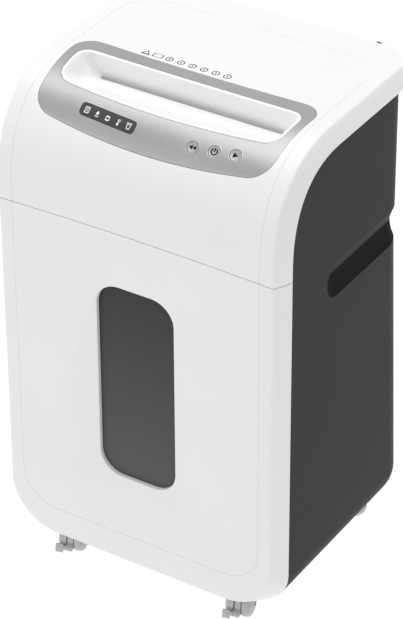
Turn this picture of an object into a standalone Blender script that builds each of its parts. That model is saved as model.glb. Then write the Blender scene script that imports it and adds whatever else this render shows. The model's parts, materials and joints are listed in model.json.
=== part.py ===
"""Paper shredder with a pull-out bin, on four twin-wheel casters.

A white front and lid run as one ribbon from the floor edge, over an arch, to the back.
Two dark side panels and a back panel carry it.  Metres, +Z up, the front faces -Y, and
the origin is on the floor below the middle of the whole shredder.
"""
import math

import bmesh
import bpy
from mathutils import Matrix, Vector

# ---------------------------------------------------------------- driving dimensions
FACE_W = 0.335                      # flat front face, crease to crease
W = FACE_W                          # short name for proportions below
HALF_FACE = FACE_W / 2
HALF_BODY = 0.53 * FACE_W           # outermost width, at the dark side panels
BAND = 0.062 * FACE_W               # depth of the bevelled band round the white front
LID_DEPTH = 0.851 * FACE_W          # front face to the back edge of the lid
REAR_REACH = 0.010                  # how far the gland of the mains lead stands out behind the lid
GROUND = 0.037                      # floor to the lower edge of the white front
BASE_Z = GROUND                     # underside of the cabinet
FRONT_Y = -(LID_DEPTH + REAR_REACH) / 2
LID_Y = FRONT_Y + LID_DEPTH
WALL = 0.003                        # moulded shell thickness
GAP = 0.0003                        # between pieces that touch
FIT = 0.0006                        # visible joint line between shells

SEAM_Z = GROUND + 1.2525 * FACE_W   # joint between the bin front and the lid
SEAM_RISE = 0.009 * FACE_W          # the joint is a little higher in the middle
ARCH_Z = GROUND + 1.28 * FACE_W     # where the front starts to curve back
ARCH_A = 0.35 * FACE_W              # depth of the arch
ARCH_B = 0.373 * FACE_W             # height of the arch
ARCH_N = 2.5                        # superellipse exponent of the arch
ARCH_STEPS = 14
TOP_Z = ARCH_Z + ARCH_B
BAND_TOP = 0.055 * FACE_W           # height of the band along the top of each side
CORNER_R = 0.175 * FACE_W           # bottom corners of the flat front face
BODY_CORNER_R = 0.137 * FACE_W      # bottom corners of the cabinet and of the band
REAR_R = 0.16 * FACE_W              # rear corners of the lid in plan
BODY_REAR_R = 0.13 * FACE_W         # rear corners of the cabinet in plan

BODY_FRONT_Y = FRONT_Y + BAND       # dark panels start behind the white band
BODY_REAR_TOP = FRONT_Y + 0.787 * FACE_W
BODY_REAR_LOW = FRONT_Y + 0.853 * FACE_W
FLARE_TOP_Z = GROUND + 1.06 * FACE_W
SPLIT_X = 0.25 * FACE_W             # side panels meet the back and base panels here
REAR_TUCK = 0.020                   # height over which the rear foot turns under
OVERRUN = 0.002                     # cutting solids run past the open front by this

# control trim on the arch: half width, front, back, bows, corner radii, half at the front
TRIM_OUTER = (0.436 * W, 0.262 * W, 0.634 * W, 0.245 / W, 0.06 / W, 0.085 * W, 0.066 * W, 0.424 * W)
TRIM_INNER = (0.405 * W, 0.394 * W, 0.588 * W, 0.165 / W, 0.02 / W, 0.060 * W, 0.045 * W, 0.400 * W)

# indicator window, buttons and slot
BUTTON_X = (0.1515 * W, 0.2239 * W, 0.2944 * W)
BUTTON_R = 0.0067
BUTTON_SEGMENTS = 20
LENS_LEFT = -0.2600 * W
LENS_RIGHT = -0.0550 * W
LENS_HALF = 0.0225 * W
LENS_R = 0.0045
SLOT_HALF = 0.111
SLOT_DEPTH_Y = 0.0060
SLOT_Z = GROUND + 1.572 * FACE_W
SLOT_Y = FRONT_Y + 0.332 * FACE_W   # paper path, midway between the cutter shafts
MOUTH_Y = SLOT_Y + 0.0004           # middle of the slot, just clear of the front lip
MOUTH_DEEP = 0.016                  # height of the guide below the slot's edge
BOARD_LOW, BOARD_HIGH = (-0.098, -0.013), (0.118, 0.013)
BOARD_RUN = 0.335 * W
BOARD_SUNK = 0.0145                 # board below the lid's surface
BOARD_T = 0.0016

# grip recesses, mains gland and switch
GRIP_Z = GROUND + 1.120 * FACE_W
GRIP_HALF = 0.062 * FACE_W          # half its height, and the radius of its round ends
GRIP_FRONT_Y = FRONT_Y + 0.272 * FACE_W
GRIP_DEPTH = 0.015 * FACE_W
GRIP_EDGE = 0.33 * GRIP_HALF          # height where the sloping top meets the inlay
INLAY_T = 0.0018
CORNER_Y = BODY_REAR_TOP - BODY_REAR_R
GRIP_FLAT = CORNER_Y - GRIP_FRONT_Y
GRIP_LENGTH = GRIP_FLAT + BODY_REAR_R * math.radians(78)
GRIP_SLOPE = [(0.0, GRIP_HALF), (-0.5 * GRIP_DEPTH, 0.68 * GRIP_HALF), (-GRIP_DEPTH, GRIP_EDGE)]
GRIP_FLOOR = [(-GRIP_DEPTH, GRIP_EDGE - GAP), (-GRIP_DEPTH, 0.15 * GRIP_HALF),
              (-0.80 * GRIP_DEPTH, -0.30 * GRIP_HALF), (-0.45 * GRIP_DEPTH, -0.70 * GRIP_HALF),
              (-0.05 * GRIP_DEPTH, -GRIP_HALF + GAP)]
INLET_X = 0.118                     # gland for the mains lead, in the rear wall of the lid
INLET_Z = TOP_Z - 0.0085
INLET_R = 0.0047
INLET_BORE = 0.0032
SWITCH_X = -0.055
SWITCH_Z = TOP_Z - BAND_TOP - 0.026

# bin drawer
WINDOW_HALF = 0.1425 * W
WINDOW_LOW = GROUND + 0.338 * W
WINDOW_HIGH = GROUND + 1.0645 * W
WINDOW_R = 0.082 * W
WINDOW_RETURN = 0.0050              # depth of the white edge round the opening
DISH_LOW = 0.0145                   # depth of the smoked dish at its lower end
DISH_HIGH = 0.0275                  # and at its upper end
BIN_HALF = 0.1560
BIN_FRONT_Y = BODY_FRONT_Y + 0.0005
BIN_REAR_Y = BODY_REAR_TOP - 0.014
BIN_FLOOR_Z = BASE_Z + 0.0175
BIN_TOP_Z = SEAM_Z - 0.030
BIN_WALL = 0.0025
BIN_REAR_R = 0.035
RAIL_X = 0.070

# cutter block, all shafts along X
CUT_Z = 0.517
SHAFT_GAP = 0.036                   # between the two cutter shafts
FRONT_SHAFT = (SLOT_Y - SHAFT_GAP / 2, CUT_Z)
REAR_SHAFT = (SLOT_Y + SHAFT_GAP / 2, CUT_Z)
DISC_R = 0.0195
CORE_R = 0.0125
DISC_PITCH = 0.016
DISC_T = 0.0072
DISC_COUNT = 13
JOURNAL_R = 0.006
FRAME_X = 0.1165                    # inner face of each steel frame plate
FRAME_T = 0.0025
FRAME_AHEAD = 0.046                 # frame plates reach this far ahead of the paper path
FRAME_BEHIND = 0.118                # and this far behind it, past the motor
FRAME_TOP = 0.546
BEARING_R = 0.0092                  # holes for the bearings
TIE_RODS = ((SLOT_Y - 0.0415, 0.500), (SLOT_Y + 0.0415, 0.492))
TRAY_Z = 0.476
TRAY_T = 0.003
SENSOR_X = 0.150                    # right of the cutters, over the bin's edge

# gear train: module in metres, tooth counts
SYNC_M, SYNC_TEETH = 0.002, 18
DRIVE_M, DRIVE_TEETH, PINION_TEETH = 0.0015, 30, 12
FAST_M, FAST_TEETH, MOTOR_TEETH = 0.00125, 40, 12
DRIVE_ANGLE = -15.0                 # line of centres, cutter shaft to reduction gear
MOTOR_ANGLE = -5.0                  # line of centres, reduction gear to motor
IDLER_PIN_R = 0.003
MOTOR_SHAFT_R = 0.003
MOTOR_R = 0.030
SYNC_X = (0.1200, 0.1290)
DRIVE_X = (0.1315, 0.1405)
FAST_X = (0.1425, 0.1495)

# casters
WHEEL_R = 0.016
TRAIL = 0.014
FRONT_TURN = math.radians(15)       # how far the casters are swivelled as they stand
REAR_TURN = math.radians(120)
CASTER_FRONT_X = 0.1100
CASTER_FRONT_Y = FRONT_Y + 0.042
CASTER_REAR_X = 0.1140
CASTER_REAR_Y = FRONT_Y + 0.245
STEM_R = 0.004
HOOD_HALF = 0.0035                  # half thickness of the hood between the two wheels
HOOD_R = 0.0150
WHEEL_IN = 0.0045                   # inner face of each wheel, from the middle
TREAD_W = 0.0048                    # flat tread; the domed outer face stands out past it
WHEEL_OUT = 0.0160
AXLE_R = 0.0020
AXLE_Z = WHEEL_R
PEDAL_PIVOT = (-TRAIL - 0.0190, AXLE_Z - 0.0042)
PEDAL_PIN_R = 0.0011
PEDAL_OUT = -0.0152                 # the pedal lies in front of the left-hand wheel


# ---------------------------------------------------------------- helpers
def clear_scene():
    for old in list(bpy.data.objects):
        bpy.data.objects.remove(old, do_unlink=True)


def make_material(name, color, roughness, metallic=0.0, alpha=1.0):
    material = bpy.data.materials.new(name)
    material.use_nodes = True
    shader = material.node_tree.nodes["Principled BSDF"]
    shader.inputs["Base Color"].default_value = (*color, 1.0)
    shader.inputs["Roughness"].default_value = roughness
    shader.inputs["Metallic"].default_value = metallic
    shader.inputs["Alpha"].default_value = alpha
    return material


def make_object(name, verts, faces, material=None, smooth=35.0):
    """One closed mesh object, faces pointing out, origin at the world origin."""
    mesh = bpy.data.meshes.new(name)
    mesh.from_pydata([tuple(v) for v in verts], [], faces)
    work = bmesh.new()
    work.from_mesh(mesh)
    bmesh.ops.remove_doubles(work, verts=work.verts, dist=1e-6)
    bmesh.ops.recalc_face_normals(work, faces=work.faces)
    work.to_mesh(mesh)
    work.free()
    obj = bpy.data.objects.new(name, mesh)
    bpy.context.scene.collection.objects.link(obj)
    if material:
        mesh.materials.append(material)
    mesh.shade_smooth()
    mesh.set_sharp_from_angle(angle=math.radians(smooth))
    return obj


def loft(name, loops, material=None, ring=False, smooth=35.0):
    """Skin through loops of equal length: capped at both ends, or closed into a ring."""
    count = len(loops[0])
    verts = [v for loop in loops for v in loop]
    faces = []
    last = len(loops) if ring else len(loops) - 1
    for row in range(last):
        low = row * count
        high = ((row + 1) % len(loops)) * count
        for i in range(count):
            j = (i + 1) % count
            faces.append((low + i, low + j, high + j, high + i))
    if not ring:
        faces.append(tuple(range(count)))
        faces.append(tuple(range((len(loops) - 1) * count, len(loops) * count)))
    return make_object(name, verts, faces, material, smooth)


def place(axis, a, b, height):
    """A point from two plane coordinates and a height along the named axis."""
    if axis == "X":
        return Vector((height, a, b))
    if axis == "Y":
        return Vector((a, height, b))
    return Vector((a, b, height))


def prism(name, outline, axis, low, high, material=None, smooth=35.0):
    loops = [[place(axis, a, b, h) for a, b in outline] for h in (low, high)]
    return loft(name, loops, material, smooth=smooth)


def box(name, low, high, material=None):
    outline = [(low[0], low[1]), (high[0], low[1]), (high[0], high[1]), (low[0], high[1])]
    return prism(name, outline, "Z", low[2], high[2], material)


def circle(a, b, radius, segments, start=0.0):
    return [(a + radius * math.cos(start + 2 * math.pi * k / segments),
             b + radius * math.sin(start + 2 * math.pi * k / segments)) for k in range(segments)]


def turned(name, profile, center, segments, material=None):
    """A ring turned about an axis along X; profile is a closed list of (radius, x)."""
    loops = []
    for k in range(segments):
        angle = 2 * math.pi * k / segments
        loops.append([Vector((x, center[0] + r * math.cos(angle), center[1] + r * math.sin(angle)))
                      for r, x in profile])
    return loft(name, loops, material, ring=True)


def spindle(name, profile, center, segments, material=None):
    """A solid turned about an axis along X, with flat ends; profile is (radius, x) rows."""
    rows = [[place("X", a, b, x) for a, b in circle(center[0], center[1], r, segments)]
            for r, x in profile]
    return loft(name, rows, material)


def rod(name, center, radius, low, high, segments, material=None, axis="X"):
    return prism(name, circle(center[0], center[1], radius, segments), axis, low, high, material)


def apply_boolean(obj, tool, operation):
    """Cut, join or intersect, keep the result as the object's own mesh, drop the tool."""
    modifier = obj.modifiers.new(operation, "BOOLEAN")
    modifier.operation = operation
    modifier.solver = "EXACT"
    modifier.object = tool
    bpy.context.view_layer.update()
    graph = bpy.context.evaluated_depsgraph_get()
    result = bpy.data.meshes.new_from_object(obj.evaluated_get(graph))
    obj.modifiers.clear()
    obj.data = result
    bpy.data.objects.remove(tool, do_unlink=True)
    return obj


def cut(obj, tool):
    return apply_boolean(obj, tool, "DIFFERENCE")


def join(obj, tool):
    return apply_boolean(obj, tool, "UNION")


def keep(obj, tool):
    return apply_boolean(obj, tool, "INTERSECT")


def clean(obj, material, smooth=35.0):
    """Merge the slivers that cutting leaves, and give the piece its one material."""
    work = bmesh.new()
    work.from_mesh(obj.data)
    bmesh.ops.remove_doubles(work, verts=work.verts, dist=2e-6)
    bmesh.ops.dissolve_degenerate(work, edges=work.edges, dist=2e-6)
    work.to_mesh(obj.data)
    work.free()
    obj.data.materials.clear()
    obj.data.materials.append(material)
    obj.data.shade_smooth()
    obj.data.set_sharp_from_angle(angle=math.radians(smooth))
    return obj


def set_origin(obj, point):
    """Move the object's origin to a point on its joint axis, leaving the piece in place."""
    point = Vector(point)
    obj.data.transform(Matrix.Translation(-point))
    obj.location = point
    return obj


def mirrored(source, name):
    """The same piece for the other side, mirrored in X."""
    mesh = source.data.copy()
    mesh.name = name
    mesh.transform(Matrix.Diagonal((-1, 1, 1, 1)))
    mesh.flip_normals()
    other = bpy.data.objects.new(name, mesh)
    bpy.context.scene.collection.objects.link(other)
    return other


# ---------------------------------------------------------------- arch geometry
def arch_points(inset_front, inset_top):
    """(y, z) along the arch from its foot to the flat top, moved in by the insets."""
    points = []
    for k in range(ARCH_STEPS + 1):
        turn = (math.pi / 2) * k / ARCH_STEPS
        across = math.cos(turn) ** (2 / ARCH_N)
        up = math.sin(turn) ** (2 / ARCH_N)
        points.append((FRONT_Y + ARCH_A - (ARCH_A - inset_front) * across,
                       ARCH_Z + (ARCH_B - inset_top) * up))
    return points


def arch_table(steps=240):
    """Outer arch as fine points with the length run along it."""
    table = []
    run = 0.0
    previous = None
    for k in range(steps + 1):
        turn = (math.pi / 2) * k / steps
        point = Vector((FRONT_Y + ARCH_A * (1 - math.cos(turn) ** (2 / ARCH_N)),
                        ARCH_Z + ARCH_B * math.sin(turn) ** (2 / ARCH_N)))
        if previous:
            run += (point - previous).length
        table.append((run, point))
        previous = point
    return table


ARCH_TABLE = arch_table()


def on_arch(x, run, depth=0.0):
    """World point at x and a length run up the arch, sunk by depth below the surface."""
    total, end = ARCH_TABLE[-1]
    if run >= total:
        return Vector((x, end.x + run - total, end.y - depth))
    k = 1
    while ARCH_TABLE[k][0] < run:
        k += 1
    run_a, a = ARCH_TABLE[k - 1]
    run_b, b = ARCH_TABLE[k]
    point = a.lerp(b, (run - run_a) / (run_b - run_a))
    along = (b - a).normalized()
    return Vector((x, point.x + along.y * depth, point.y - along.x * depth))


def arch_normal(run):
    return (on_arch(0, run) - on_arch(0, run, 0.001)).normalized()


def panel_loop(half, front, back, bow_front, bow_back, r_front, r_back, half_front=None):
    """Closed outline on the arch as (x, run): straight back, bowed front, round corners."""
    half_front = half_front or half
    edge, corner, side = 7, 4, 2
    loop = []
    for k in range(edge + 1):
        x = (half - r_back) * (1 - 2 * k / edge)
        loop.append((x, back + bow_back * x * x))
    for x_sign in (-1, 1):
        def corner_arc(cx, cy, radius, start):
            return [(cx + radius * math.cos(start + math.pi / 2 * k / corner),
                     cy + radius * math.sin(start + math.pi / 2 * k / corner))
                    for k in range(1, corner + 1)]
        if x_sign < 0:
            loop += corner_arc(-(half - r_back), back - r_back + bow_back * (half - r_back) ** 2,
                               r_back, math.pi / 2)
            x_low = half_front - r_front
            z_low = front + bow_front * x_low ** 2 + r_front
            x_a, z_a = loop[-1]
            for k in range(1, side + 1):
                t = k / side
                loop.append((x_a + (-half_front - x_a) * t, z_a + (z_low - z_a) * t))
            loop += corner_arc(-x_low, z_low, r_front, math.pi)
            for k in range(1, edge + 1):
                x = x_low * (-1 + 2 * k / edge)
                loop.append((x, front + bow_front * x * x))
        else:
            loop += corner_arc(x_low, z_low, r_front, -math.pi / 2)
            z_top = back - r_back + bow_back * (half - r_back) ** 2
            for k in range(1, side + 1):
                t = k / side
                loop.append((half_front + (half - half_front) * t, z_low + (z_top - z_low) * t))
            loop += corner_arc(half - r_back, z_top, r_back, 0.0)[:-1]
    return loop


def blend_loops(loop_a, loop_b, t):
    return [((1 - t) * ax + t * bx, (1 - t) * ay + t * by) for (ax, ay), (bx, by) in zip(loop_a, loop_b)]


def grown(spec, amount):
    """A panel outline grown outwards by an amount."""
    half, front, back, bow_f, bow_b, r_f, r_b, half_f = spec
    return panel_loop(half + amount, front - amount, back + amount, bow_f, bow_b,
                      r_f + amount, r_b + amount, half_f + amount)


def lens_line(x):
    """Length run up the arch of the indicator line, which follows the bowed trim."""
    return 0.332 * W + 0.22 / W * x * x


def button_line(x):
    return 0.326 * W + 0.245 / W * x * x


# ---------------------------------------------------------------- outlines of the cabinet
def seam_height(x):
    return SEAM_Z + SEAM_RISE * max(0.0, 1 - (x / HALF_FACE) ** 2)


def cup_outline(half, bottom, top, radius, steps=7):
    """(x, z) outline with two rounded bottom corners and a square top."""
    points = [(half, top)]
    for k in range(steps + 1):
        turn = (math.pi / 2) * k / steps
        points.append((half - radius + radius * math.cos(turn), bottom + radius - radius * math.sin(turn)))
    for k in range(steps + 1):
        turn = (math.pi / 2) * (1 - k / steps)
        points.append((-half + radius - radius * math.cos(turn), bottom + radius - radius * math.sin(turn)))
    points.append((-half, top))
    return points


def plan_outline(half, front, rear, radius, steps=7):
    """(x, y) outline with a square front and two rounded rear corners."""
    points = [(-half, front), (half, front)]
    for k in range(steps + 1):
        turn = (math.pi / 2) * k / steps
        points.append((half - radius + radius * math.cos(turn), rear - radius + radius * math.sin(turn)))
    for k in range(steps + 1):
        turn = (math.pi / 2) * (1 - k / steps)
        points.append((-half + radius - radius * math.cos(turn), rear - radius + radius * math.sin(turn)))
    return points


def ribbon(name, stations, rear, floor):
    """Arch profile lofted across X; each station is (x, inset at front, inset at top)."""
    loops = []
    for x, inset_front, inset_top in stations:
        low = floor(x)
        loop = [Vector((x, FRONT_Y + inset_front, low))]
        loop += [Vector((x, y, z)) for y, z in arch_points(inset_front, inset_top)]
        loop.append(Vector((x, rear, TOP_Z - inset_top)))
        loop.append(Vector((x, rear, low)))
        loops.append(loop)
    return loft(name, loops)


def band_stations(thickness):
    """Stations across the lid: flat in the middle, two facets down to each side."""
    half = [(1.0, 1.0), (0.5, 0.43), (0.10, 0.09), (0.0, 0.0)]
    stations = []
    for out, drop in half:
        stations.append((HALF_FACE + out * (HALF_BODY - HALF_FACE) - thickness,
                         drop * BAND + thickness, drop * BAND_TOP + thickness))
    flat = [(x * HALF_FACE, thickness, thickness) for x in (0.7, 0.35, 0.0)]
    right = stations + flat
    return right + [(-x, f, t) for x, f, t in reversed(right[:-1])]


def body_outer(inset):
    """The cabinet's outer solid: rounded bottom, flared rear.

    With an inset it is the room inside the walls, which runs out through the open front.
    """
    levels = []
    radius = BODY_CORNER_R - inset
    bottom = BASE_Z + inset
    for k in range(8):
        turn = (math.pi / 2) * k / 7
        levels.append((bottom + radius * (1 - math.cos(turn)),
                       HALF_BODY - inset - radius + radius * math.sin(turn)))
    levels.append((FLARE_TOP_Z, HALF_BODY - inset))
    levels.append((TOP_Z, HALF_BODY - inset))
    loops = []
    for z, half in levels:
        flare = min(1.0, (FLARE_TOP_Z - z) / (FLARE_TOP_Z - BASE_Z)) if z < FLARE_TOP_Z else 0.0
        tuck = max(0.0, REAR_TUCK - (z - bottom)) * 0.6
        rear = BODY_REAR_TOP + (BODY_REAR_LOW - BODY_REAR_TOP) * flare - inset - tuck
        front = BODY_FRONT_Y + FIT - (OVERRUN if inset else 0.0)
        plan = plan_outline(half, front, rear, BODY_REAR_R - inset)
        loops.append([Vector((x, y, z)) for x, y in plan])
    return loft("body_solid", loops)


# ---------------------------------------------------------------- materials
clear_scene()
WHITE = make_material("white_shell", (0.86, 0.86, 0.86), 0.38)
DARK = make_material("dark_panel", (0.055, 0.055, 0.057), 0.50)
SILVER = make_material("silver_trim", (0.52, 0.52, 0.53), 0.36, 0.6)
LENS = make_material("lens", (0.08, 0.08, 0.085), 0.20)
SMOKE = make_material("smoked_window", (0.05, 0.05, 0.055), 0.10, 0.0, 0.45)
BIN_GREY = make_material("bin_plastic", (0.10, 0.10, 0.105), 0.50)
BUTTON = make_material("button", (0.60, 0.60, 0.61), 0.35, 0.3)
STEEL = make_material("steel", (0.50, 0.50, 0.51), 0.34, 1.0)
ZINC = make_material("zinc_plate", (0.60, 0.60, 0.58), 0.42, 1.0)
BRONZE = make_material("bronze", (0.55, 0.36, 0.16), 0.40, 1.0)
NYLON = make_material("nylon_gear", (0.80, 0.79, 0.74), 0.48)
BLACK = make_material("black_plastic", (0.02, 0.02, 0.02), 0.45)
BOARD = make_material("circuit_board", (0.03, 0.16, 0.06), 0.50)
CASTER = make_material("caster_plastic", (0.52, 0.52, 0.52), 0.42)


# ---------------------------------------------------------------- lid
def build_head_cover():
    """White lid: a shell under the arch, its band down to each side, and the feed opening."""
    cover = ribbon("head_cover", band_stations(0.0), LID_Y + 0.02, lambda x: seam_height(x) + FIT / 2)
    plan = plan_outline(HALF_BODY, FRONT_Y - 0.01, LID_Y, REAR_R)
    keep(cover, prism("plan", plan, "Z", SEAM_Z - 0.05, TOP_Z + 0.01))
    inner = ribbon("inner", band_stations(WALL), LID_Y + 0.02, lambda x: SEAM_Z - 0.02)
    inner_plan = plan_outline(HALF_BODY, FRONT_Y - 0.01, LID_Y - WALL, REAR_R - WALL)
    keep(inner, prism("inner_plan", inner_plan, "Z", SEAM_Z - 0.05, TOP_Z + 0.01))
    cut(cover, inner)
    below = [(HALF_BODY + 0.02, BAND, BAND_TOP), (-HALF_BODY - 0.02, BAND, BAND_TOP)]
    cut(cover, ribbon("below", below, LID_Y + 0.03, lambda x: SEAM_Z - 0.02))
    cut(cover, arch_plug("opening", grown(TRIM_OUTER, GAP), -0.006, 0.010))
    gland = circle(INLET_X, INLET_Z, INLET_R + GAP, 20)
    cut(cover, prism("gland_hole", gland, "Y", LID_Y - 0.02, LID_Y + 0.02))
    return clean(cover, WHITE)


def arch_plug(name, loop, depth_low, depth_high):
    """A closed plug that follows the arch, with the given outline."""
    center_run = sum(run for _, run in loop) / len(loop)
    rows = [loop] + [[(x * t, center_run + (run - center_run) * t) for x, run in loop]
                     for t in (0.75, 0.5, 0.25)]
    top = [[on_arch(x, run, depth_low) for x, run in row] for row in rows]
    low = [[on_arch(x, run, depth_high) for x, run in row] for row in rows]
    return loft(name, list(reversed(top)) + low)


def build_control_trim():
    """Metallic frame round the feed opening; it carries the indicator and the buttons."""
    depth = 0.0026
    outer = panel_loop(*TRIM_OUTER)
    inner = panel_loop(*TRIM_INNER)
    rows = [blend_loops(outer, inner, t) for t in (0.0, 0.33, 0.67, 1.0)]
    loops = [[on_arch(x, run) for x, run in row] for row in rows]
    loops += [[on_arch(x, run, depth) for x, run in row] for row in reversed(rows)]
    trim = loft("control_trim", loops, ring=True)
    cut(trim, lens_plug("lens_hole", GAP, -0.004, 0.008))
    for x in BUTTON_X:
        cut(trim, button_rod("button_hole", x, BUTTON_R + GAP, -0.006, 0.010))
    return clean(trim, SILVER)


def lens_loop(grow):
    """Rounded rectangle that follows the indicator line."""
    middle = (LENS_LEFT + LENS_RIGHT) / 2
    half = (LENS_RIGHT - LENS_LEFT) / 2 + grow
    tall = LENS_HALF + grow
    radius = LENS_R + grow
    loop = []
    for sx, sy, start in ((1, 1, 0), (-1, 1, 90), (-1, -1, 180), (1, -1, 270)):
        for k in range(5):
            turn = math.radians(start + 90 * k / 4)
            x = middle + sx * (half - radius) + radius * math.cos(turn)
            loop.append((x, lens_line(x) + sy * (tall - radius) + radius * math.sin(turn)))
    return loop


def lens_plug(name, grow, depth_low, depth_high):
    loops = [[on_arch(x, run, depth) for x, run in lens_loop(grow)] for depth in (depth_low, depth_high)]
    return loft(name, loops)


def button_frame(x):
    """Centre on the surface, and the two directions across the button, and its normal."""
    run = button_line(x)
    center = on_arch(x, run)
    normal = arch_normal(run)
    across = Vector((1, 0, 0))
    return center, across, normal.cross(across), normal


def button_rod(name, x, radius, depth_low, depth_high):
    center, across, up, normal = button_frame(x)
    loops = [[center - normal * depth + across * a + up * b
              for a, b in circle(0, 0, radius, BUTTON_SEGMENTS)] for depth in (depth_low, depth_high)]
    return loft(name, loops)


def build_button(name, x):
    """A round cap with a thin stem behind it; it slides in along its own normal."""
    center, across, up, normal = button_frame(x)
    profile = [(BUTTON_R - 0.0006, -0.0006), (BUTTON_R, 0.0), (BUTTON_R, 0.0045), (0.0022, 0.0045),
               (0.0022, 0.0085)]
    loops = [[center - normal * depth + across * a + up * b for a, b in circle(0, 0, r, BUTTON_SEGMENTS)]
             for r, depth in profile]
    button = loft(name, loops, BUTTON)
    return set_origin(button, center)


def slot_loop(grow):
    radius = SLOT_DEPTH_Y / 2 + grow
    spec = (SLOT_HALF + grow, -SLOT_DEPTH_Y / 2 - grow, SLOT_DEPTH_Y / 2 + grow, 0.0, 0.0,
            radius * 0.95, radius * 0.95, SLOT_HALF + grow)
    return [(x, MOUTH_Y + y) for x, y in panel_loop(*spec)]


def build_feed_throat():
    """White funnel inside the trim: a steep back wall and a long ramp down to the slot."""
    rim = grown(TRIM_INNER, -GAP)
    lip = grown(TRIM_INNER, -0.0022)
    rim_top = [on_arch(x, run, 0.0004) for x, run in rim]
    lip_top = [on_arch(x, run, 0.0004) for x, run in lip]
    lip_low = [on_arch(x, run, 0.0030) for x, run in rim]
    mouth = [Vector((x, y, SLOT_Z)) for x, y in slot_loop(0.0)]
    exit_in = [Vector((x, y, SLOT_Z - MOUTH_DEEP)) for x, y in slot_loop(0.0)]
    exit_out = [Vector((x, y, SLOT_Z - MOUTH_DEEP)) for x, y in slot_loop(0.0018)]
    mouth_out = [Vector((x, y, SLOT_Z - 0.0030)) for x, y in slot_loop(0.0018)]
    ramp = []
    ramp_out = []
    for t in (0.35, 0.7):
        ease = t * t * 0.35 + t * 0.65
        row = [a.lerp(b, t) for a, b in zip(lip_top, mouth)]
        drop = [Vector((0, 0, -0.0012 * math.sin(math.pi * ease))) for _ in row]
        ramp.append([a + d for a, d in zip(row, drop)])
        under = [a.lerp(b, t) for a, b in zip(lip_low, mouth_out)]
        ramp_out.append([a + d for a, d in zip(under, drop)])
    loops = [rim_top, lip_top] + ramp + [mouth, exit_in, exit_out, mouth_out]
    loops += list(reversed(ramp_out)) + [lip_low]
    return loft("feed_throat", loops, WHITE, ring=True)


def build_lens():
    loops = [[on_arch(x, run, depth) for x, run in lens_loop(0.0)] for depth in (0.0001, 0.0026)]
    return loft("indicator_lens", loops, LENS)


def build_circuit_board():
    """Bare board below the buttons and the indicator window, level with the lid there."""
    normal = arch_normal(BOARD_RUN)
    center = on_arch(0.0, BOARD_RUN, BOARD_SUNK)
    up = normal.cross(Vector((1, 0, 0)))
    (left, low), (right, high) = BOARD_LOW, BOARD_HIGH
    corners = ((left, low), (right, low), (right, high), (left, high))
    loops = [[center - normal * depth + Vector((a, 0, 0)) + up * b for a, b in corners]
             for depth in (0.0, BOARD_T)]
    return loft("circuit_board", loops, BOARD)


# ---------------------------------------------------------------- cabinet
def grip_path(run):
    """Point (x, y) on the right side and its outward normal, at a length run backwards."""
    if run < GRIP_FLAT:
        return Vector((HALF_BODY, GRIP_FRONT_Y + run)), Vector((1, 0))
    turn = (run - GRIP_FLAT) / BODY_REAR_R
    normal = Vector((math.cos(turn), math.sin(turn)))
    return Vector((HALF_BODY - BODY_REAR_R, CORNER_Y)) + normal * BODY_REAR_R, normal


def grip_runs():
    """Where the recess is sectioned: closely at its round ends, and round the corner."""
    ends = [GRIP_HALF * (1 - math.cos(math.pi / 2 * k / 5)) for k in range(6)]
    ends[0] = 0.0004
    corner = [GRIP_FLAT + (GRIP_LENGTH - GRIP_HALF - GRIP_FLAT) * k / 3 for k in range(3)]
    return ends + corner + [GRIP_LENGTH - run for run in reversed(ends)]


def grip_loft(name, section, material=None):
    """Sweep a section of (outward, height share) pairs, shrinking into both round ends.

    Negative outward values are depths; they shrink with the height, positive ones don't.
    """
    loops = []
    for run in grip_runs():
        near = min(run, GRIP_LENGTH - run)
        share = 1.0 if near >= GRIP_HALF else math.sqrt(1 - (1 - near / GRIP_HALF) ** 2)
        point, normal = grip_path(run)
        loop = []
        for out, height in section:
            reach = out if out > 0 else out * (0.25 + 0.75 * share)
            spot = point + normal * reach
            loop.append(Vector((spot.x, spot.y, GRIP_Z + height * share)))
        loops.append(loop)
    return loft(name, loops, material)


def grip_cutter():
    """The recess with room for its dark inlay below the ridge."""
    outside = 0.010
    floor = [(out - INLAY_T - GAP, height) for out, height in GRIP_FLOOR]
    floor[0] = (floor[0][0], GRIP_EDGE)
    floor[-1] = (floor[-1][0], -GRIP_HALF)
    section = [(outside, GRIP_HALF)] + GRIP_SLOPE + floor + [(outside, -GRIP_HALF)]
    return grip_loft("grip", section)


def grip_backing():
    """Extra wall behind the recess."""
    deep = GRIP_DEPTH + INLAY_T + WALL
    section = [(-0.0008, GRIP_HALF + WALL), (-deep, GRIP_EDGE + WALL), (-deep, -0.10 * GRIP_HALF),
               (-0.55 * deep, -0.90 * GRIP_HALF - WALL), (-0.0008, -GRIP_HALF - 1.5 * WALL)]
    return grip_loft("backing", section)


def build_grip_inlay():
    """Dark soft-touch liner on the lower half of the right-hand recess."""
    back = [(out - INLAY_T, height) for out, height in reversed(GRIP_FLOOR)]
    return grip_loft("grip_inlay_right", GRIP_FLOOR + back, BLACK)


def cabinet_shell():
    shell = body_outer(0.0)
    arch = [(HALF_BODY + 0.02, BAND + FIT, BAND_TOP + FIT), (-HALF_BODY - 0.02, BAND + FIT, BAND_TOP + FIT)]
    keep(shell, ribbon("under_lid", arch, LID_Y + 0.03, lambda x: BASE_Z - 0.02))
    cut(shell, body_outer(WALL))
    return shell


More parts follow.
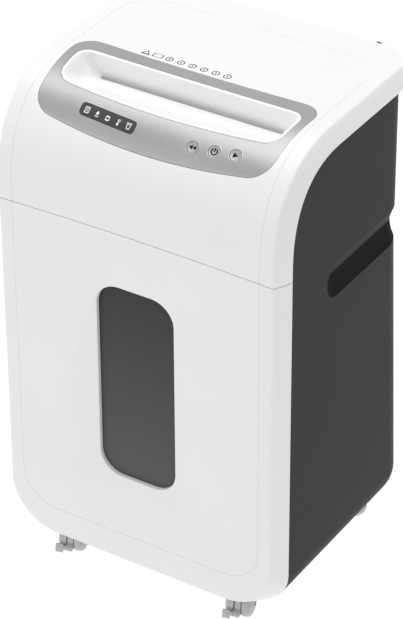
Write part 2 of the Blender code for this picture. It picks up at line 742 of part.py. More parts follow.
def build_side_panel():
    """Right-hand panel with its rounded rear corner, rounded bottom and grip recess."""
    panel = cabinet_shell()
    keep(panel, box("right", (SPLIT_X + GAP / 2, -1, 0), (1, 1, 1)))
    join(panel, grip_backing())
    cut(panel, grip_cutter())
    for stem in ((CASTER_FRONT_X, CASTER_FRONT_Y), (CASTER_REAR_X, CASTER_REAR_Y)):
        join(panel, rod("boss", stem, 0.009, BASE_Z + 0.001, BASE_Z + 0.016, 16, axis="Z"))
        cut(panel, rod("socket", stem, STEM_R + GAP, BASE_Z - 0.01, BASE_Z + 0.0135, 16, axis="Z"))
    panel.name = "side_panel_right"
    panel.data.name = panel.name
    return clean(panel, DARK)


def build_back_panel():
    """Middle of the rear wall, with the opening for the mains switch."""
    panel = cabinet_shell()
    keep(panel, box("back", (-SPLIT_X + GAP / 2, 0.06, BASE_Z + WALL + GAP), (SPLIT_X - GAP / 2, 1, 1)))
    cut(panel, box("hole", (SWITCH_X - 0.0105, 0.0, SWITCH_Z - 0.0075),
                   (SWITCH_X + 0.0105, 0.3, SWITCH_Z + 0.0075)))
    panel.name = "back_panel"
    panel.data.name = panel.name
    return clean(panel, DARK)


def build_base_plate():
    """Flat floor of the cabinet between the two side panels."""
    plate = cabinet_shell()
    keep(plate, box("low", (-SPLIT_X + GAP / 2, -1, -1), (SPLIT_X - GAP / 2, 1, BASE_Z + WALL)))
    plate.name = "base_plate"
    plate.data.name = plate.name
    return clean(plate, DARK)


def build_cord_inlet():
    """Black gland for the mains lead: a sleeve through the lid's rear wall, with a flange."""
    rings = ((INLET_R, -0.008), (INLET_R, GAP), (0.0062, GAP), (0.0062, 0.0018), (INLET_R, 0.0018),
             (INLET_R * 0.92, REAR_REACH))
    loops = [[Vector((a, LID_Y + y, b)) for a, b in circle(INLET_X, INLET_Z, radius, 20)]
             for radius, y in rings]
    gland = loft("cord_inlet", loops)
    cut(gland, prism("bore", circle(INLET_X, INLET_Z, INLET_BORE, 16), "Y", LID_Y - 0.02, LID_Y + 0.02))
    return clean(gland, BLACK)


def build_switch():
    """Rocker switch for the mains: a frame in the back panel and the rocker in it."""
    y = BODY_REAR_TOP
    frame = box("switch_frame", (SWITCH_X - 0.0135, y + GAP, SWITCH_Z - 0.0105),
                (SWITCH_X + 0.0135, y + 0.0025, SWITCH_Z + 0.0105), BLACK)
    join(frame, box("can", (SWITCH_X - 0.0102, y - 0.016, SWITCH_Z - 0.0072),
                    (SWITCH_X + 0.0102, y + 0.001, SWITCH_Z + 0.0072)))
    cut(frame, box("well", (SWITCH_X - 0.0085, y - 0.009, SWITCH_Z - 0.0058),
                   (SWITCH_X + 0.0085, y + 0.01, SWITCH_Z + 0.0058)))
    clean(frame, BLACK)
    pivot = Vector((SWITCH_X, y - 0.0045, SWITCH_Z))
    tilt = math.radians(6)
    outline = [(-0.0074, -0.001), (-0.0074, 0.0070), (0.0, 0.0058), (0.0074, 0.0070), (0.0074, -0.001),
               (0.0, -0.0028)]
    turned_outline = [(a * math.cos(tilt) - b * math.sin(tilt), a * math.sin(tilt) + b * math.cos(tilt))
                      for a, b in outline]
    rocker = prism("mains_rocker", [(pivot.x + a, pivot.y + b) for a, b in turned_outline], "Z",
                   SWITCH_Z - 0.0052, SWITCH_Z + 0.0052, BLACK)
    return set_origin(rocker, pivot)


# ---------------------------------------------------------------- bin drawer
def round_rect(half, low, high, radius, steps=5):
    points = []
    for sx, cz, start in ((1, high - radius, 0), (-1, high - radius, 90), (-1, low + radius, 180),
                          (1, low + radius, 270)):
        for k in range(steps + 1):
            turn = math.radians(start + 90 * k / steps)
            points.append((sx * (half - radius) + radius * math.cos(turn), cz + radius * math.sin(turn)))
    return points


def front_loop(y, spread, thickness):
    """Outline of the white front at a depth: it spreads outwards across the band.

    The hollow's outline, which has a thickness, stands past the top, so the top edge is open.
    """
    half = HALF_FACE + spread * (HALF_BODY - HALF_FACE) - thickness
    radius = CORNER_R + spread * (BODY_CORNER_R - CORNER_R) - thickness
    outline = cup_outline(half, GROUND + thickness, SEAM_Z, radius)
    loop = [Vector((x, y, z)) for x, z in outline]
    steps = 8
    top = [Vector((x, y, seam_height(x) - FIT / 2 + thickness / 3)) for x in
           [half * (-1 + 2 * k / steps) for k in range(steps + 1)]]
    loop[-1:] = top[:1]
    loop[:1] = []
    return loop + top[1:]


def build_drawer_front():
    """The white front of the bin drawer: a shallow shell with a window opening."""
    steps = ((0.0, 0.0), (0.09 * BAND, 0.10), (0.43 * BAND, 0.5), (BAND, 1.0))
    shell = loft("drawer_front", [front_loop(FRONT_Y + y, s, 0.0) for y, s in steps])
    hollow = loft("hollow", [front_loop(FRONT_Y + y + WALL, s, WALL) for y, s in steps])
    cut(shell, hollow)
    collar = round_rect(WINDOW_HALF + 0.0025, WINDOW_LOW - 0.0025, WINDOW_HIGH + 0.0025, WINDOW_R + 0.0025)
    join(shell, prism("collar", collar, "Y", FRONT_Y + 0.001, FRONT_Y + WINDOW_RETURN))
    opening = round_rect(WINDOW_HALF, WINDOW_LOW, WINDOW_HIGH, WINDOW_R)
    cut(shell, prism("opening", opening, "Y", FRONT_Y - 0.01, FRONT_Y + 0.02))
    return clean(shell, WHITE)


def window_block(name, shrink, front, depth_low, depth_high):
    """Solid behind the opening whose back slopes inwards towards the top."""
    outline = round_rect(WINDOW_HALF - shrink, WINDOW_LOW + shrink, WINDOW_HIGH - shrink, WINDOW_R - shrink)
    slope = (depth_high - depth_low) / (WINDOW_HIGH - WINDOW_LOW)
    loops = [[Vector((x, FRONT_Y + front, z)) for x, z in outline],
             [Vector((x, FRONT_Y + depth_low + slope * (z - WINDOW_LOW), z)) for x, z in outline]]
    return loft(name, loops)


def build_window():
    """Smoked window moulding: a dish that deepens upwards, so its top is the finger pull."""
    front = WINDOW_RETURN + GAP
    pane = 0.0022
    dish = window_block("drawer_window", -0.0018, front, DISH_LOW + pane, DISH_HIGH + pane)
    cut(dish, window_block("inside", 0.0004, front - 0.002, DISH_LOW, DISH_HIGH))
    return clean(dish, SMOKE)


def build_bin():
    """Open tub with rounded bottom edges, rounded rear corners and a window cut-out."""
    outer = cup_outline(BIN_HALF, BIN_FLOOR_Z, BIN_TOP_Z, 0.042, 5)
    inner = cup_outline(BIN_HALF - BIN_WALL, BIN_FLOOR_Z + BIN_WALL, BIN_TOP_Z + 0.01, 0.0395, 5)
    tub = prism("bin", outer, "Y", BIN_FRONT_Y, BIN_REAR_Y + 0.01)
    plan = plan_outline(BIN_HALF + 0.001, BIN_FRONT_Y - 0.01, BIN_REAR_Y, BIN_REAR_R, 5)
    keep(tub, prism("plan", plan, "Z", 0.0, TOP_Z))
    inside = prism("inside", inner, "Y", BIN_FRONT_Y + BIN_WALL, BIN_REAR_Y + 0.01)
    inner_plan = plan_outline(BIN_HALF, BIN_FRONT_Y - 0.01, BIN_REAR_Y - BIN_WALL, BIN_REAR_R - BIN_WALL, 5)
    keep(inside, prism("inner_plan", inner_plan, "Z", 0.0, TOP_Z))
    cut(tub, inside)
    opening = round_rect(WINDOW_HALF + 0.004, WINDOW_LOW - 0.004, WINDOW_HIGH + 0.004, WINDOW_R + 0.004)
    cut(tub, prism("opening", opening, "Y", BIN_FRONT_Y - 0.01, BIN_FRONT_Y + 0.01))
    return clean(tub, BIN_GREY)


def build_rail(name, side):
    """Low glide rail on the base plate that the bin slides on."""
    x = side * RAIL_X
    return box(name, (x - 0.004, BODY_FRONT_Y + 0.012, BASE_Z + WALL + GAP),
               (x + 0.004, BODY_REAR_TOP - 0.016, BIN_FLOOR_Z - GAP), NYLON)


# ---------------------------------------------------------------- cutter block
def build_head_tray():
    """Floor of the head: it carries the frames and is open below the cutters."""
    half = HALF_BODY - WALL - GAP
    front = BODY_FRONT_Y + 0.004
    rear = BODY_REAR_TOP - WALL - GAP
    tray = box("head_tray", (-half, front, TRAY_Z - TRAY_T), (half, rear, TRAY_Z), BLACK)
    plan = plan_outline(half, front - 0.01, rear, REAR_R - WALL - GAP)
    keep(tray, prism("plan", plan, "Z", TRAY_Z - 0.02, TRAY_Z + 0.02))
    cut(tray, box("drop", (-0.108, SLOT_Y - 0.034, TRAY_Z - 0.02), (0.108, SLOT_Y + 0.034, TRAY_Z + 0.02)))
    return clean(tray, BLACK)


def gear_axis(center, module, teeth_a, teeth_b, angle):
    """Centre of the gear that meshes with one at center, along a line at an angle."""
    reach = module * (teeth_a + teeth_b) / 2
    turn = math.radians(angle)
    return (center[0] + reach * math.cos(turn), center[1] + reach * math.sin(turn))


IDLER = gear_axis(REAR_SHAFT, DRIVE_M, DRIVE_TEETH, PINION_TEETH, DRIVE_ANGLE)
MOTOR = gear_axis(IDLER, FAST_M, FAST_TEETH, MOTOR_TEETH, MOTOR_ANGLE)


def gear_outline(center, module, teeth, phase):
    """Straight-sided teeth with backlash; phase is the angle of one tooth in degrees."""
    pitch_r = module * teeth / 2
    tip_r = pitch_r + 0.80 * module
    root_r = pitch_r - 1.10 * module
    pitch = 2 * math.pi / teeth
    points = []
    for k in range(teeth):
        middle = math.radians(phase) + k * pitch
        for radius, share in ((root_r, -0.27), (tip_r, -0.105), (tip_r, 0.105), (root_r, 0.27)):
            angle = middle + share * pitch
            points.append((center[0] + radius * math.cos(angle), center[1] + radius * math.sin(angle)))
    return points


def build_gear(name, center, module, teeth, phase, span, bore, material):
    gear = prism(name, gear_outline(center, module, teeth, phase), "X", span[0], span[1])
    if bore:
        cut(gear, rod("bore", center, bore, span[0] - 0.01, span[1] + 0.01, 16))
    return clean(gear, material, 20.0)


def cutter_profile(offset, shaft_end):
    """(radius, x) rows of a cutter shaft with its discs, from the left end to the right."""
    end = FRAME_X - 0.0015
    profile = [(JOURNAL_R, -FRAME_X - FRAME_T - 0.0015), (JOURNAL_R, -end), (CORE_R, -end)]
    for k in range(DISC_COUNT):
        x = (k - (DISC_COUNT - 1) / 2) * DISC_PITCH + offset
        profile += [(CORE_R, x - DISC_T / 2), (DISC_R, x - DISC_T / 2),
                    (DISC_R, x + DISC_T / 2), (CORE_R, x + DISC_T / 2)]
    return profile + [(CORE_R, end), (JOURNAL_R, end), (JOURNAL_R, shaft_end)]


def build_cutter(name, center, offset, shaft_end):
    shaft = spindle(name, cutter_profile(offset, shaft_end), center, 12, STEEL)
    return set_origin(shaft, (0, *center))


def build_frame(name, side):
    """Steel end plate of the cutter block; the right one has the reduction gear's pin."""
    low, high = sorted((side * FRAME_X, side * (FRAME_X + FRAME_T)))
    front, rear = SLOT_Y - FRAME_AHEAD, SLOT_Y + FRAME_BEHIND
    outline = [(front, TRAY_Z + GAP), (rear, TRAY_Z + GAP), (rear, FRAME_TOP - 0.016),
               (SLOT_Y + 0.060, FRAME_TOP), (front, FRAME_TOP)]
    plate = prism(name, outline, "X", low, high)
    for center in (FRONT_SHAFT, REAR_SHAFT):
        cut(plate, rod("bearing_hole", center, BEARING_R, low - 0.01, high + 0.01, 20))
    if side > 0:
        join(plate, rod("gear_pin", IDLER, IDLER_PIN_R, low + 0.001, FAST_X[1] + 0.0015, 12))
        cut(plate, rod("motor_hole", MOTOR, 0.008, low - 0.01, high + 0.01, 16))
    for center in TIE_RODS:
        cut(plate, rod("rod_hole", center, 0.0025, low - 0.01, high + 0.01, 12))
    return clean(plate, ZINC)


def build_tie_rod(name, center):
    """Spacer rod between the frames, necked at each end where it enters the plate."""
    reach = FRAME_X - GAP
    profile = [(0.0022, -reach - 0.0024), (0.0022, -reach), (0.0040, -reach), (0.0040, reach),
               (0.0022, reach), (0.0022, reach + 0.0024)]
    return spindle(name, profile, center, 12, STEEL)


def build_bearing(name, center, side):
    low, high = sorted((side * (FRAME_X - 0.0008), side * (FRAME_X + FRAME_T + 0.0006)))
    profile = [(JOURNAL_R + GAP, low), (BEARING_R - GAP, low), (BEARING_R - GAP, high),
               (JOURNAL_R + GAP, high)]
    return turned(name, profile, center, 16, BRONZE)


def build_comb(name, center, side, offset):
    """Stripper comb: fingers reach between the discs of one shaft, close to its core."""
    back = center[0] + side * (DISC_R + 0.0030)
    bar = center[0] + side * (DISC_R + 0.0010)
    tip = center[0] + side * (CORE_R + 0.0008)
    outline = [(-FRAME_X + 0.001, back), (-FRAME_X + 0.001, bar)]
    for k in range(DISC_COUNT - 1):
        x = (k - (DISC_COUNT - 2) / 2) * DISC_PITCH + offset
        outline += [(x - 0.0034, bar), (x - 0.0034, tip), (x + 0.0034, tip), (x + 0.0034, bar)]
    outline += [(FRAME_X - 0.001, bar), (FRAME_X - 0.001, back)]
    return prism(name, outline, "Z", center[1] - 0.004, center[1] + 0.004, NYLON)


def build_gear_train():
    """Sync gears, drive gear, two-step reduction gear and the motor pinion, all in mesh."""
    set_origin(build_gear("sync_gear_front", FRONT_SHAFT, SYNC_M, SYNC_TEETH, 0.0, SYNC_X,
                          JOURNAL_R + GAP, STEEL), (0, *FRONT_SHAFT))
    set_origin(build_gear("sync_gear_rear", REAR_SHAFT, SYNC_M, SYNC_TEETH, 180.0 + 180.0 / SYNC_TEETH,
                          SYNC_X, JOURNAL_R + GAP, STEEL), (0, *REAR_SHAFT))
    set_origin(build_gear("drive_gear", REAR_SHAFT, DRIVE_M, DRIVE_TEETH, DRIVE_ANGLE, DRIVE_X,
                          JOURNAL_R + GAP, NYLON), (0, *REAR_SHAFT))
    reduction = prism("reduction_gear", gear_outline(IDLER, FAST_M, FAST_TEETH, MOTOR_ANGLE), "X",
                      FAST_X[0], FAST_X[1])
    small = prism("small", gear_outline(IDLER, DRIVE_M, PINION_TEETH,
                                        DRIVE_ANGLE + 180.0 + 180.0 / PINION_TEETH), "X",
                  DRIVE_X[0], FAST_X[0] + 0.001)
    join(reduction, small)
    cut(reduction, rod("bore", IDLER, IDLER_PIN_R + GAP, 0.12, 0.16, 12))
    set_origin(clean(reduction, NYLON, 20.0), (0, *IDLER))
    pinion = build_gear("motor_shaft", MOTOR, FAST_M, MOTOR_TEETH, MOTOR_ANGLE + 180.0 + 180.0 / MOTOR_TEETH,
                        FAST_X, 0, STEEL)
    join(pinion, rod("shaft", MOTOR, MOTOR_SHAFT_R, FRAME_X - 0.026, FAST_X[0] + 0.001, 12))
    set_origin(clean(pinion, STEEL, 20.0), (0, *MOTOR))


def build_motor():
    """Motor can with stepped ends, fixed to the right frame."""
    high = FRAME_X - GAP
    profile = [(MOTOR_R * 0.55, high - 0.098), (MOTOR_R * 0.86, high - 0.096), (MOTOR_R, high - 0.086),
               (MOTOR_R, high - 0.012), (MOTOR_R * 0.90, high - 0.010), (MOTOR_R * 0.90, high)]
    can = spindle("motor_body", profile, MOTOR, 24)
    cut(can, rod("bore", MOTOR, MOTOR_SHAFT_R + 0.0008, high - 0.030, high + 0.01, 12))
    return clean(can, ZINC)


def build_drawer_sensor():
    """Sensor under the head tray that stops the motor when the bin is out."""
    return box("drawer_sensor", (SENSOR_X - 0.007, BODY_FRONT_Y + 0.010, TRAY_Z - TRAY_T - 0.010),
               (SENSOR_X + 0.007, BODY_FRONT_Y + 0.024, TRAY_Z - TRAY_T - GAP), BLACK)


# ---------------------------------------------------------------- casters
def seat(obj, spot, origin):
    """Move a piece built round the stem axis to its place, with its origin on its joint."""
    x, y, turn = spot
    matrix = Matrix.Translation((x, y, 0)) @ Matrix.Rotation(turn, 4, "Z")
    obj.data.transform(matrix)
    return set_origin(obj, matrix @ Vector(origin))


def build_hood(name, spot, brake):
    """Swivel hood between the two wheels, with the stem that turns in the cabinet."""
    axle_y = -TRAIL
    rounded = [(axle_y + HOOD_R * math.cos(math.radians(a)), AXLE_Z + HOOD_R * math.sin(math.radians(a)))
               for a in range(120, 391, 30)]
    outline = [(0.0080, BASE_Z - 0.0020), (-0.0100, BASE_Z - 0.0020)]
    outline += [(y, max(z, 0.0022)) for y, z in rounded]
    hood = prism(name, outline, "X", -HOOD_HALF, HOOD_HALF)
    join(hood, rod("collar", (0, 0), 0.0085, BASE_Z - 0.0050, BASE_Z - 0.0012, 16, axis="Z"))
    join(hood, rod("stem", (0, 0), STEM_R, BASE_Z - 0.0030, BASE_Z + 0.0115, 12, axis="Z"))
    cut(hood, rod("axle_hole", (axle_y, AXLE_Z), AXLE_R + GAP, -0.02, 0.02, 12))
    if brake:
        y, z = PEDAL_PIVOT
        join(hood, box("lug", (-HOOD_HALF, y, z - 0.0030), (HOOD_HALF, axle_y - 0.010, z + 0.0030)))
        join(hood, rod("lug_end", PEDAL_PIVOT, 0.0030, -HOOD_HALF, HOOD_HALF, 14))
        cut(hood, rod("pin_hole", PEDAL_PIVOT, PEDAL_PIN_R + GAP, -HOOD_HALF - 0.01, -0.0005, 10))
    clean(hood, CASTER)
    return seat(hood, spot, (0, 0, BASE_Z))


def build_wheel(name, spot, side):
    """Moulded wheel with a narrow flat tread and a domed outer face, bored for the axle."""
    edge = WHEEL_IN + TREAD_W
    dome = WHEEL_OUT - edge
    profile = [(AXLE_R + GAP, WHEEL_IN), (WHEEL_R, WHEEL_IN), (WHEEL_R, edge),
               (WHEEL_R * 0.93, edge + 0.45 * dome), (WHEEL_R * 0.78, edge + 0.78 * dome),
               (WHEEL_R * 0.52, edge + 0.95 * dome), (AXLE_R + GAP, WHEEL_OUT)]
    segments = 20
    loops = []
    for k in range(segments):
        angle = 2 * math.pi * (k + 0.5) / segments
        loops.append([Vector((side * h, -TRAIL + r * math.cos(angle), AXLE_Z + r * math.sin(angle)))
                      for r, h in profile])
    wheel = loft(name, loops, CASTER, ring=True)
    return seat(wheel, spot, (0, -TRAIL, AXLE_Z))


def build_axle(name, spot):
    axle = rod(name, (-TRAIL, AXLE_Z), AXLE_R, -WHEEL_OUT + 0.0025, WHEEL_OUT - 0.0025, 12, STEEL)
    return seat(axle, spot, (0, -TRAIL, AXLE_Z))


def build_pedal(name, spot):
    """Brake pedal in front of one wheel, on a round hub whose pin turns in the hood's lug."""
    py, pz = PEDAL_PIVOT
    plate = [(py + 0.0012, pz + 0.0040), (py - 0.0012, pz + 0.0042), (py - 0.0036, pz - 0.0030),
             (py - 0.0030, pz - 0.0052), (py - 0.0006, pz - 0.0048), (py + 0.0016, pz - 0.0012)]
    hub_end = -HOOD_HALF - GAP
    pedal = prism(name, plate, "X", PEDAL_OUT, hub_end - 0.0028)
    join(pedal, rod("hub", PEDAL_PIVOT, 0.0026, PEDAL_OUT + 0.0020, hub_end, 14))
    join(pedal, rod("pin", PEDAL_PIVOT, PEDAL_PIN_R, hub_end - 0.001, -0.0010, 10))
    clean(pedal, CASTER)
    return seat(pedal, spot, (0, py, pz))


def build_casters():
    for label, side, brake in (("front_left", -1, True), ("front_right", 1, True),
                               ("rear_left", -1, False), ("rear_right", 1, False)):
        front = (side * CASTER_FRONT_X, CASTER_FRONT_Y, FRONT_TURN)
        rear = (side * CASTER_REAR_X, CASTER_REAR_Y, REAR_TURN)
        spot = front if brake else rear
        build_hood("caster_hood_" + label, spot, brake)
        build_axle("caster_axle_" + label, spot)
        build_wheel("caster_wheel_a_" + label, spot, -1)
        build_wheel("caster_wheel_b_" + label, spot, 1)
        if brake:
            build_pedal("brake_pedal_" + label, spot)


# ---------------------------------------------------------------- assembly
def build_shredder():
    build_head_cover()
    build_control_trim()
    build_feed_throat()
    build_lens()
    build_circuit_board()
    for name, x in zip(("reverse_button", "power_button", "forward_button"), BUTTON_X):
        build_button(name, x)
    right = build_side_panel()
    mirrored(right, "side_panel_left")
    mirrored(build_grip_inlay(), "grip_inlay_left")
    build_back_panel()
    build_base_plate()
    build_cord_inlet()
    build_switch()
    build_drawer_front()
    build_window()
    build_bin()
    build_rail("glide_rail_left", -1)
    build_rail("glide_rail_right", 1)
    build_head_tray()
    build_frame("cutter_frame_left", -1)
    build_frame("cutter_frame_right", 1)
    build_cutter("cutter_shaft_front", FRONT_SHAFT, 0.0, SYNC_X[1] + 0.0005)
    build_cutter("cutter_shaft_rear", REAR_SHAFT, DISC_PITCH / 2, DRIVE_X[1] + 0.0005)
    build_comb("stripper_comb_front", FRONT_SHAFT, -1, 0.0)
    build_comb("stripper_comb_rear", REAR_SHAFT, 1, DISC_PITCH / 2)
    build_tie_rod("tie_rod_front", TIE_RODS[0])
    build_tie_rod("tie_rod_rear", TIE_RODS[1])
    for label, center in (("front", FRONT_SHAFT), ("rear", REAR_SHAFT)):
        build_bearing("bearing_left_" + label, center, -1)
        build_bearing("bearing_right_" + label, center, 1)
    build_gear_train()
    build_motor()
    build_drawer_sensor()
    build_casters()


build_shredder()
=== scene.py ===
"""Looks of the paper shredder: detailed shells, controls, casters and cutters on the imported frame.

Metres, +Z up, the front faces -Y.  Dimensions repeat those of the CAD model.
"""
import json
import math

import bmesh
import bpy
from mathutils import Matrix, Vector


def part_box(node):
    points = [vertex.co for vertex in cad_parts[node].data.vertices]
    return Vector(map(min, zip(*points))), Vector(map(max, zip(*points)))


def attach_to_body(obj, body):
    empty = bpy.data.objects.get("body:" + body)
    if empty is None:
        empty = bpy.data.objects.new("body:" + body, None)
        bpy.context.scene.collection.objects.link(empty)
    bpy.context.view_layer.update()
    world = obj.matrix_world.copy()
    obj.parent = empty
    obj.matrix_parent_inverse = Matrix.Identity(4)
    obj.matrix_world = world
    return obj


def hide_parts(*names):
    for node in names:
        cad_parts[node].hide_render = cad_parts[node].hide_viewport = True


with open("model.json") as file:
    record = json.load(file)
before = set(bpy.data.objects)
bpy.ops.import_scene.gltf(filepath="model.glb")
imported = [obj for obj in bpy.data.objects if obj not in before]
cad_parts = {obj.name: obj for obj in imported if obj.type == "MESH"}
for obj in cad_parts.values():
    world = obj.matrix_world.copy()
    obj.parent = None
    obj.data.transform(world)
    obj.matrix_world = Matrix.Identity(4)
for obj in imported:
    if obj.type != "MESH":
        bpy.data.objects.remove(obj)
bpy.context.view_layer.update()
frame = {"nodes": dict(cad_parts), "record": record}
nodes = frame["nodes"]

# ---------------------------------------------------------------- dimensions
W = 0.335                           # flat front face, crease to crease
HALF_FACE = W / 2
HALF_BODY = 0.53 * W
BAND = 0.062 * W                    # depth of the bevelled band round the white front
BAND_TOP = 0.055 * W
GROUND = 0.037
FRONT_Y = -(0.851 * W + 0.010) / 2
LID_Y = FRONT_Y + 0.851 * W
WALL = 0.003
GAP = 0.0003
FIT = 0.0006
SEAM_Z = GROUND + 1.2525 * W
SEAM_RISE = 0.009 * W
ARCH_Z = GROUND + 1.28 * W
ARCH_A = 0.35 * W
ARCH_B = 0.373 * W
ARCH_N = 2.5
TOP_Z = ARCH_Z + ARCH_B
CORNER_R = 0.175 * W
BODY_CORNER_R = 0.137 * W
REAR_R = 0.16 * W
BODY_REAR_R = 0.13 * W
BODY_FRONT_Y = FRONT_Y + BAND
BODY_REAR_TOP = FRONT_Y + 0.787 * W
BODY_REAR_LOW = FRONT_Y + 0.853 * W
FLARE_TOP_Z = GROUND + 1.06 * W
SPLIT_X = 0.25 * W
SEAM_SHADOW_HALF = 0.0002                  # half height of the dark strip in the joint under the lid: painted shadow of the gap
MARK_COUNT = 8                      # printed marks on the lid, behind the trim
MARK_X = -0.216 * W
MARK_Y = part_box("control_trim")[1][1] + 0.0066
MARK_STEP = 0.0141
MARK_SIZE = 0.0088
PRINT_T = 0.00005                   # how far the marks on the lid stand up
SIGN_T = 0.00006                    # and the signs on the controls

# outlines on the arch: half width, front, back, bows, corner radii, half width at the front
TRIM_OUTER = (0.436 * W, 0.262 * W, 0.634 * W, 0.245 / W, 0.06 / W, 0.085 * W, 0.066 * W, 0.424 * W)
TRIM_INNER = (0.405 * W, 0.394 * W, 0.588 * W, 0.165 / W, 0.02 / W, 0.060 * W, 0.045 * W, 0.400 * W)
BUTTON_X = (0.1515 * W, 0.2239 * W, 0.2944 * W)
BUTTON_R = 0.0067
LENS_LEFT = -0.2600 * W
LENS_RIGHT = -0.0550 * W
LENS_HALF = 0.0225 * W
LENS_R = 0.0045
SLOT_Y = FRONT_Y + 0.332 * W
SLOT_HALF = 0.111
SLOT_Z = GROUND + 1.572 * W
LINE_X = 0.4515 * W                 # fine moulded line inside the white border
LINE_LOW = GROUND + 0.104 * W
LINE_BACK = FRONT_Y + 0.738 * W
LINE_R = 0.115 * W

WINDOW_HALF = 0.1425 * W
WINDOW_LOW = GROUND + 0.338 * W
WINDOW_HIGH = GROUND + 1.0645 * W
WINDOW_R = 0.082 * W
WINDOW_RETURN = 0.0050
DISH_LOW = 0.0145
DISH_HIGH = 0.0275

GRIP_Z = GROUND + 1.120 * W
GRIP_HALF = 0.062 * W
GRIP_FRONT_Y = FRONT_Y + 0.272 * W
GRIP_DEPTH = 0.015 * W
GRIP_EDGE = 0.33 * GRIP_HALF
INLAY_T = 0.0018
CORNER_Y = BODY_REAR_TOP - BODY_REAR_R
GRIP_FLAT = CORNER_Y - GRIP_FRONT_Y
GRIP_LENGTH = GRIP_FLAT + BODY_REAR_R * math.radians(78)

CASTER_FRONT = (0.1100, FRONT_Y + 0.042)
CASTER_REAR = (0.1140, FRONT_Y + 0.245)
CASTERS = {"front_left": (-1, *CASTER_FRONT, 15), "front_right": (1, *CASTER_FRONT, 15),
           "rear_left": (-1, *CASTER_REAR, 120), "rear_right": (1, *CASTER_REAR, 120)}
WHEEL_R = 0.016
TRAIL = 0.014
WHEEL_IN = 0.0045
WHEEL_EDGE = 0.0093                 # outer edge of the flat tread; the face domes out past it
WHEEL_OUT = 0.0160
HOOD_HALF = 0.0035
HOOD_R = 0.0150
PEDAL = (-TRAIL - 0.0190, WHEEL_R - 0.0042)
PEDAL_OUT = -0.0152
INLET = (0.118, TOP_Z - 0.0085)
INLET_R = 0.0047

FRONT_SHAFT = (SLOT_Y - 0.018, 0.517)
REAR_SHAFT = (SLOT_Y + 0.018, 0.517)
DISC_R = 0.0195
CORE_R = 0.0125
DISC_PITCH = 0.016
DISC_T = 0.0072
DISC_COUNT = 13
TOOTH = ((0.0, 1.0), (0.05, 0.80), (0.20, 0.76), (0.38, 0.82), (0.55, 0.90), (0.8, 0.93), (1.1, 0.945),
         (1.4, 0.955), (1.7, 0.97), (1.95, 0.985))    # (angle, share of the radius) round one tooth
FRONT_SHAFT_END = 0.1295
REAR_SHAFT_END = 0.1410
JOURNAL_R = 0.006
FRAME_X = 0.1165


# ---------------------------------------------------------------- materials
def material(name, color, roughness, metallic=0.0, coat=0.0, specular=0.5, grain=None, spread=None, tint=0.0):
    """Principled material; grain is (scale, bump height), spread varies the roughness."""
    mat = bpy.data.materials.new(name)
    mat.use_nodes = True
    tree = mat.node_tree
    shader = tree.nodes["Principled BSDF"]
    shader.inputs["Base Color"].default_value = (*color, 1.0)
    shader.inputs["Roughness"].default_value = roughness
    shader.inputs["Metallic"].default_value = metallic
    shader.inputs["Coat Weight"].default_value = coat
    shader.inputs["Coat Roughness"].default_value = 0.12
    shader.inputs["Specular IOR Level"].default_value = specular
    place = tree.nodes.new("ShaderNodeTexCoord")
    if grain:
        noise = tree.nodes.new("ShaderNodeTexNoise")
        noise.inputs["Scale"].default_value = grain[0]
        noise.inputs["Detail"].default_value = 3.0
        tree.links.new(place.outputs["Object"], noise.inputs["Vector"])
        bump = tree.nodes.new("ShaderNodeBump")
        bump.inputs["Strength"].default_value = 0.6
        bump.inputs["Distance"].default_value = grain[1]
        tree.links.new(noise.outputs["Fac"], bump.inputs["Height"])
        tree.links.new(bump.outputs["Normal"], shader.inputs["Normal"])
    wide = tree.nodes.new("ShaderNodeTexNoise")
    wide.inputs["Scale"].default_value = 14.0
    wide.inputs["Detail"].default_value = 4.0
    tree.links.new(place.outputs["Object"], wide.inputs["Vector"])
    if spread:
        rough = tree.nodes.new("ShaderNodeMapRange")
        rough.inputs["To Min"].default_value = roughness - spread
        rough.inputs["To Max"].default_value = roughness + spread
        tree.links.new(wide.outputs["Fac"], rough.inputs["Value"])
        tree.links.new(rough.outputs["Result"], shader.inputs["Roughness"])
    if tint:
        ramp = tree.nodes.new("ShaderNodeValToRGB")
        ramp.color_ramp.elements[0].position = 0.3
        ramp.color_ramp.elements[1].position = 0.7
        ramp.color_ramp.elements[0].color = (*[c * (1 - tint) for c in color], 1)
        ramp.color_ramp.elements[1].color = (*[min(1, c * (1 + tint)) for c in color], 1)
        tree.links.new(wide.outputs["Fac"], ramp.inputs["Fac"])
        tree.links.new(ramp.outputs["Color"], shader.inputs["Base Color"])
    return mat


# Painted light: the funnel white is lighter than the shell white (0.90 against 0.84) to offset the shade
# inside the feed throat.
FUNNEL_WHITE_LIGHTENED = material("funnel_abs_lightened", (0.90, 0.90, 0.90), 0.36, grain=(900, 0.00002), spread=0.04, tint=0.006)
WHITE = material("white_abs", (0.84, 0.84, 0.845), 0.34, grain=(900, 0.00002), spread=0.04, tint=0.008)
DARK = material("charcoal_abs", (0.026, 0.026, 0.0262), 0.55, specular=0.12, grain=(1500, 0.00007),
                spread=0.05, tint=0.05)
BIN_PLASTIC = material("bin_abs", (0.075, 0.075, 0.08), 0.45, grain=(1200, 0.00006), spread=0.05, tint=0.06)
SILVER = material("silver_paint", (0.41, 0.41, 0.414), 0.36, metallic=0.55, coat=0.1,
                  grain=(2600, 0.00003), spread=0.04, tint=0.03)
LENS = material("smoked_lens", (0.056, 0.056, 0.057), 0.45, specular=0.25, grain=(900, 0.00001), spread=0.03)
SMOKE = material("smoked_window", (0.040, 0.040, 0.041), 0.42, specular=0.15, spread=0.03, tint=0.04)
CAP = material("button_cap", (0.40, 0.40, 0.403), 0.36, metallic=0.5, coat=0.1, spread=0.03, tint=0.02)
RING = material("button_ring", (0.66, 0.66, 0.67), 0.22, metallic=0.7, spread=0.03)
INK = material("print_dark", (0.010, 0.010, 0.010), 0.6, specular=0.1, spread=0.05, tint=0.05)
INK_LIGHT = material("print_light", (0.85, 0.85, 0.85), 0.45, spread=0.05, tint=0.02)
